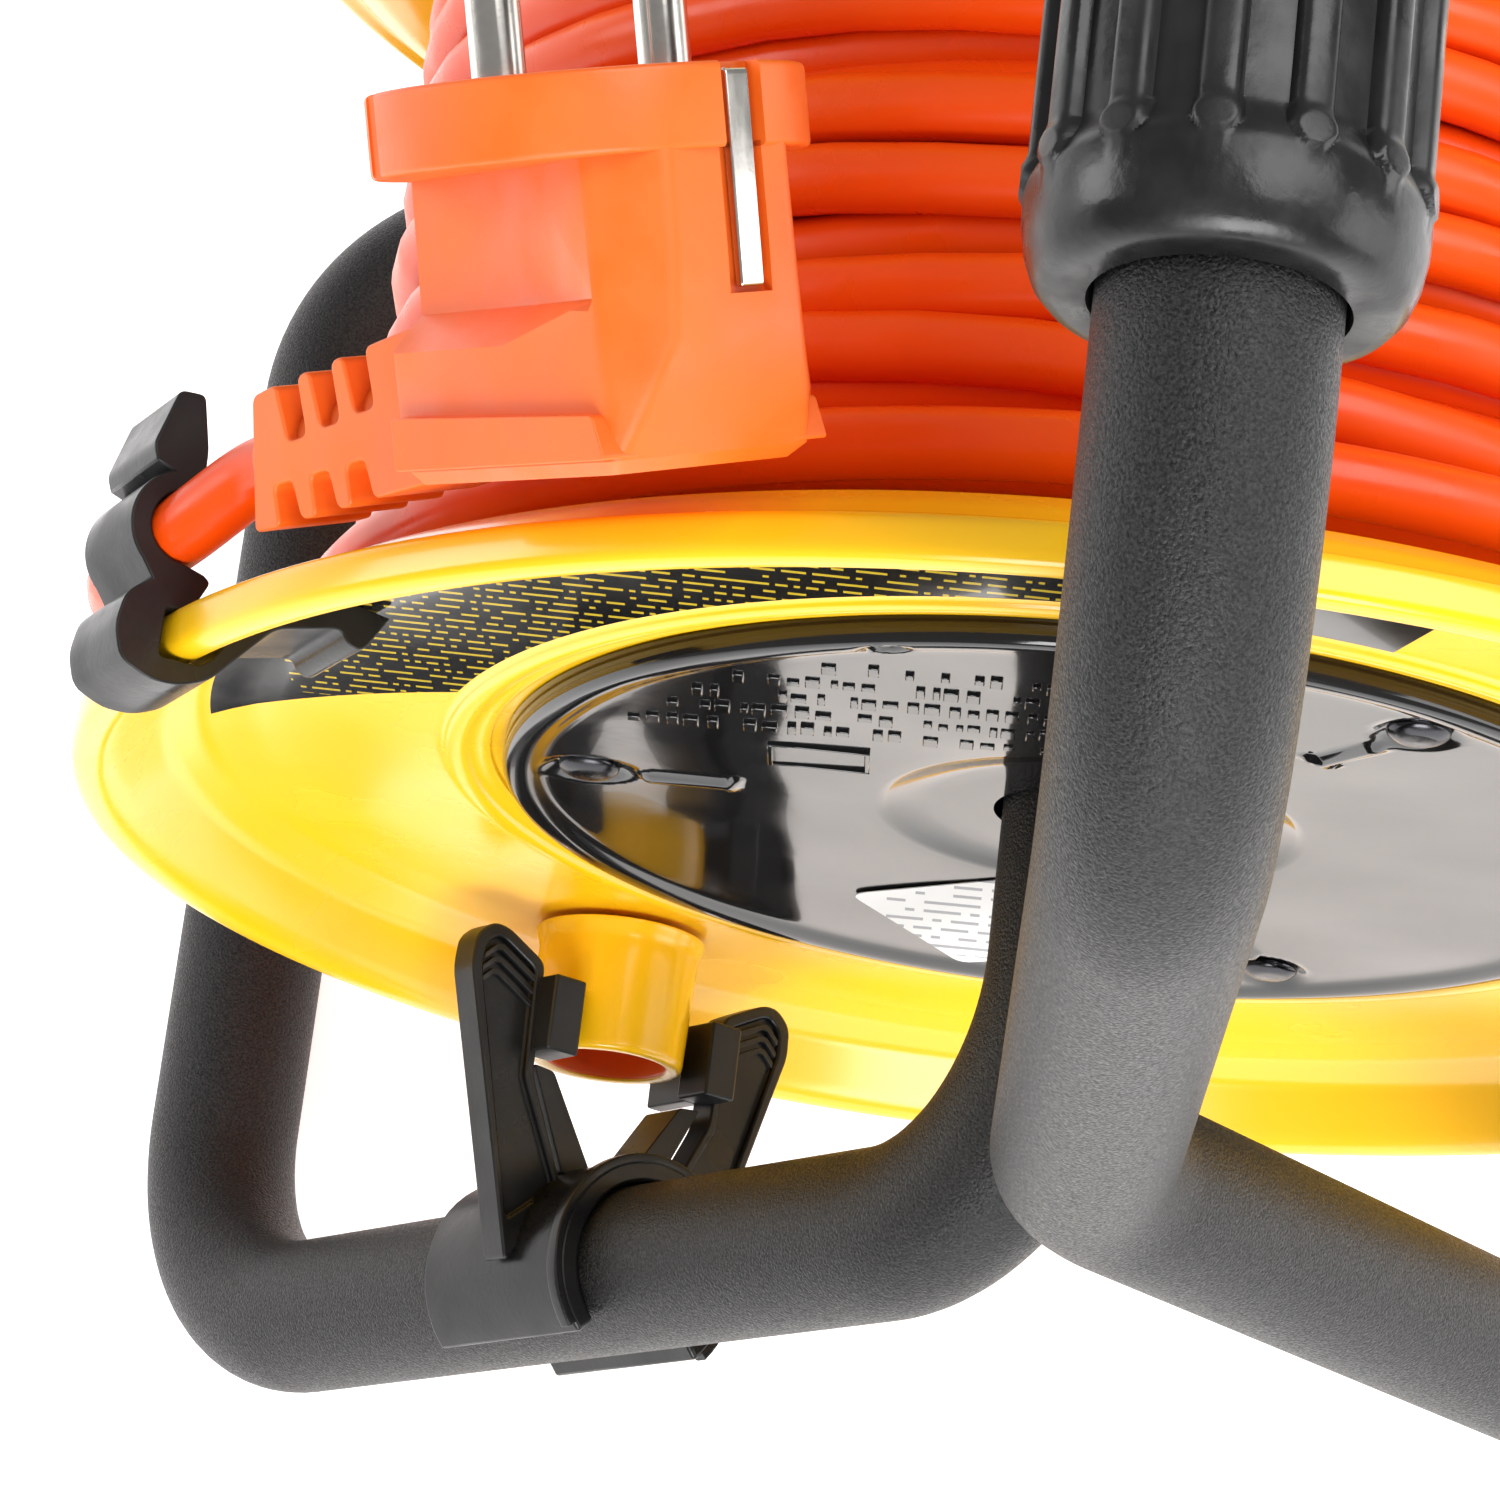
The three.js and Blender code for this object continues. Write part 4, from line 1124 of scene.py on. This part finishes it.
def keyway(side, y0, y1):
    """Slot along the plug's side."""
    return block(side * 19.4 - 2.2, side * 19.4 + 2.2, y0, y1, -3.9, 0.9)


def build_relief():
    """Tapered sleeve with staggered notches along both edges."""
    length = RELIEF_LENGTH

    def half_width(at):
        return 7.3 - 1.0 * at / length

    def notched(sign, places, depth):
        edge = [(-3.0, half_width(0) * sign)]
        for at in places:
            top = half_width(at) * sign
            floor = top - depth * sign
            edge += [(at - 1.8, top), (at - 1.5, floor), (at + 1.5, floor), (at + 1.8, top)]
        return edge

    upper = notched(1, (14.6, 20.4, 26.4), 3.9) + [(length - 0.6, half_width(length))]
    lower = notched(-1, (11.6, 17.2, 22.8), 5.6) + [(length - 4.4, -half_width(length))]
    outline = soften(upper + lower[::-1], 0.9)
    turn = Matrix.Rotation(math.radians(180 + RELIEF_TILT), 4, "Z")
    where = PLUG @ Matrix.Translation(RELIEF_START) @ turn
    sleeve = orange_piece("relief_sleeve", prism(outline, -5.6, 5.6), where)
    for z in (-6.3, 6.3):
        carve(sleeve, block(3.0, 4.8, -5.0, 4.2, z - 1.8, z + 1.8), where)
    bevel(sleeve, 0.6, 3, 35)
    core = soft_lathe([(0, -2), (5.2, -2), (4.5, length - 0.6), (0, length - 0.6)], 0.6, 48)
    orange_piece("relief_core", turned_about(core, -90, "Z"), where)
    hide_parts("strain_relief")


def build_plug_metal():
    pin = soft_lathe([(0, -6.6), (PIN_R, -6.6), (PIN_R, 16.4), (1.6, 18.6), (0, 19.2)], 1.0, 48)
    for i, side in enumerate((-1, 1)):
        piece = nickel_piece(f"pin_{i + 1}", moved(pin, z=side * PIN_AT), PLUG)
        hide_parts(f"plug_pin_{i + 1}")
        strip_line = soften([
            (side * 18.5, -19.4), (side * 18.7, -0.8), (side * 18.1, -0.5), (side * 17.6, -1.2),
            (side * 17.6, -19.4)], 0.4)
        strip = nickel_piece(f"earth_strip_{i + 1}", prism(strip_line, -2.9, -0.3), PLUG)
        bevel(strip, 0.15, 2)
        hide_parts(f"plug_earth_strip_{i + 1}")


# ---------------------------------------------------------- socket panel


def build_panel():
    """Panel with its raised ring, sockets, lids and reset button."""
    ring = lathe(soften([
        (61.2, PANEL_Y - 0.1), (61.6, PANEL_Y + 0.7), (64.6, PANEL_Y + 0.7), (65.0, PANEL_Y - 0.1),
    ], 0.3), 160)
    black_piece("panel_ring", ring, DRUM)
    panel = black_piece("panel_plate", soft_lathe([
        (0, 112.8), (66.2, 112.8), (66.7, 113.4), (66.0, 115.7), (65.2, PANEL_Y), (0, PANEL_Y),
    ], 0.5, 160), DRUM)
    cuts = [rod(5.4, 110, 120, 48)]
    for i in range(4):
        x, z = around(45 + 90 * i, SOCKET_AT)
        cuts.append(moved(rod(21.6, 110, 120, SOCKET_SEGMENTS), x=x, z=z))
        x, z = around(90 * i, 53.5)
        cuts.append(moved(rod(2.2, 110, 120, 32), x=x, z=z))
    for cut in cuts:
        carve(panel, cut, DRUM)
    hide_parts("socket_panel")
    for i in range(4):
        where = seat_frame(45 + 90 * i)
        build_socket(i + 1, where)
        build_lid(i + 1, where)
    build_button()


def build_socket(number, where):
    lip = PANEL_Y + 0.3
    floor = lip + 1.2 - SOCKET_DEPTH
    cup = soft_lathe([
        (0, floor - 6), (18, floor - 6), (21.2, floor - 2), (21.2, lip), (22.3, lip),
        (22.3, lip + 1.2), (19.9, lip + 1.2), (19.9, floor), (0, floor)], 0.4, SOCKET_SEGMENTS)
    cup = black_piece(f"socket_cup_{number}", moved(cup, z=SOCKET_AT), where)
    for x in (-PIN_AT, PIN_AT):
        carve(cup, moved(rod(PIN_HOLE_R, 90, 125, 32), x=x, z=SOCKET_AT), where)
    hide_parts(f"socket_{number}")

    pin = soft_lathe([
        (0, floor - 0.5), (PIN_R, floor - 0.5), (PIN_R, lip - 2.5), (1.4, lip - 0.9),
        (0, lip - 0.6)], 0.6, 40)
    pin = nickel_piece(f"earth_stud_{number}", moved(pin, z=SOCKET_AT + 10), where)
    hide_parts(f"earth_pin_{number}")


def build_lid(number, where):
    """Round lid with an arm and knuckle on its hinge, a finger tab, and two lugs on the panel."""
    body = f"lid_{number}"
    hinge_y, hinge_z = LID_Y + 1.5, SOCKET_AT + 24.6
    disc = soft_lathe([
        (0, LID_Y), (22.2, LID_Y), (22.3, LID_Y + 1.4), (20.6, LID_Y + 2.2), (17.6, LID_Y + 2.2),
        (17.0, LID_Y + 1.7), (0, LID_Y + 1.7)], 0.6, SOCKET_SEGMENTS)
    lid = black_piece(f"lid_disc_{number}", moved(disc, z=SOCKET_AT), where, body)
    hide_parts(f"socket_lid_{number}")
    knuckle = soft_lathe([(0, -7.8), (2.0, -7.8), (2.0, 7.8), (0, 7.8)], 0.4, 32)
    knuckle = moved(turned_about(knuckle, 90, "Z"), y=hinge_y, z=hinge_z)
    black_piece(f"lid_knuckle_{number}", knuckle, where, body)
    arm = block(-7.6, 7.6, LID_Y + 0.3, LID_Y + 2.1, hinge_z - 6, hinge_z)
    bevel(black_piece(f"lid_arm_{number}", arm, where, body), 0.4)
    tab = prism(soften([(-4.8, 0), (4.8, 0), (4.0, -5.4), (-4.0, -5.4)], 1.2), 0, 1.5)
    tab_place = Matrix.Translation((0, LID_Y + 1.95, SOCKET_AT - 18.6))
    tab_where = where @ tab_place @ Matrix.Rotation(math.pi / 2, 4, "X")
    bevel(black_piece(f"lid_tab_{number}", tab, tab_where, body), 0.4)
    lug_line = soften([
        (hinge_y - 4.6, -1.8), (hinge_y + 1.2, -1.8), (hinge_y + 1.2, 1.8), (hinge_y - 4.6, 1.8),
    ], 1.2)
    verts, faces = prism(lug_line, -1.5, 1.5)
    for x, side in ((-9.9, "a"), (9.9, "b")):
        across = [(x + c, a, hinge_z + b) for a, b, c in verts]
        bevel(black_piece(f"hinge_lug_{number}_{side}", (across, faces), where), 0.3)


def build_button():
    cap = soft_lathe([
        (0, PANEL_Y - 4), (4.9, PANEL_Y - 4), (4.9, PANEL_Y + 3.4), (4.3, PANEL_Y + 4),
        (0, PANEL_Y + 4.1)], 0.6, 64)
    piece = add_piece("button_cap", *cap, DRUM, "reset_button", "red_plastic", RED)
    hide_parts("reset_button")


# ------------------------------------------------------ carried-over CAD


def dress_cad_nodes():
    """The CAD nodes that stay visible take the finish of their slot."""
    slots = {s["node"]: s["material_slot"] for s in frame["record"]["subparts"]}
    for name, obj in frame["nodes"].items():
        obj.data.materials.clear()
        obj.data.materials.append(SLOT_LOOKS[slots[name]])
        shade_smooth(obj.data, 40)


# ------------------------------------------------------------ floor, light


def build_stage():
    size = 3.0
    mesh = bpy.data.meshes.new("floor")
    mesh.from_pydata([(-size, -size, 0), (size, -size, 0), (size, size, 0), (-size, size, 0)], [],
                     [[0, 1, 2, 3]])
    mesh.materials.append(floor_surface().material)
    floor = in_scene("floor", mesh)
    floor.location.z = -0.0006


def area_light(name, place, target, size, power):
    data = bpy.data.lights.new(name, "AREA")
    data.energy = power
    data.shape = "SQUARE"
    data.size = size
    light = in_scene(name, data)
    light.location = place
    aim = Vector(target) - Vector(place)
    light.rotation_euler = aim.to_track_quat("-Z", "Y").to_euler()


def build_lights():
    world = bpy.data.worlds.new("studio")
    bpy.context.scene.world = world
    world.use_nodes = True
    back = world.node_tree.nodes["Background"]
    back.inputs["Color"].default_value = (1, 1, 1, 1)
    back.inputs["Strength"].default_value = 0.32
    middle = (0, 0, 0.14)
    area_light("key_rear", (0.1, -1.1, 0.75), middle, 0.7, 16)
    area_light("top_soft", (0.5, 0.3, 1.3), middle, 1.0, 14)
    area_light("side_right", (1.1, -0.2, 0.5), middle, 0.7, 5)
    area_light("side_left", (-1.1, 0.1, 0.5), middle, 0.5, 4)
    bpy.context.scene.view_settings.view_transform = "Standard"
    bpy.context.scene.view_settings.exposure = 0.0


# ------------------------------------------------------------------- build

dress_cad_nodes()
cord = build_cord()
build_frame()
build_grip()
build_drum_halves()
build_flange_label()
build_cover()
build_cover_screws()
build_embossing()
build_paper_label()
build_knob()
build_lock()
build_clip()
build_plug()
build_plug_metal()
build_panel()
build_stage()
build_lights()

gland = to_drum(*GLAND)
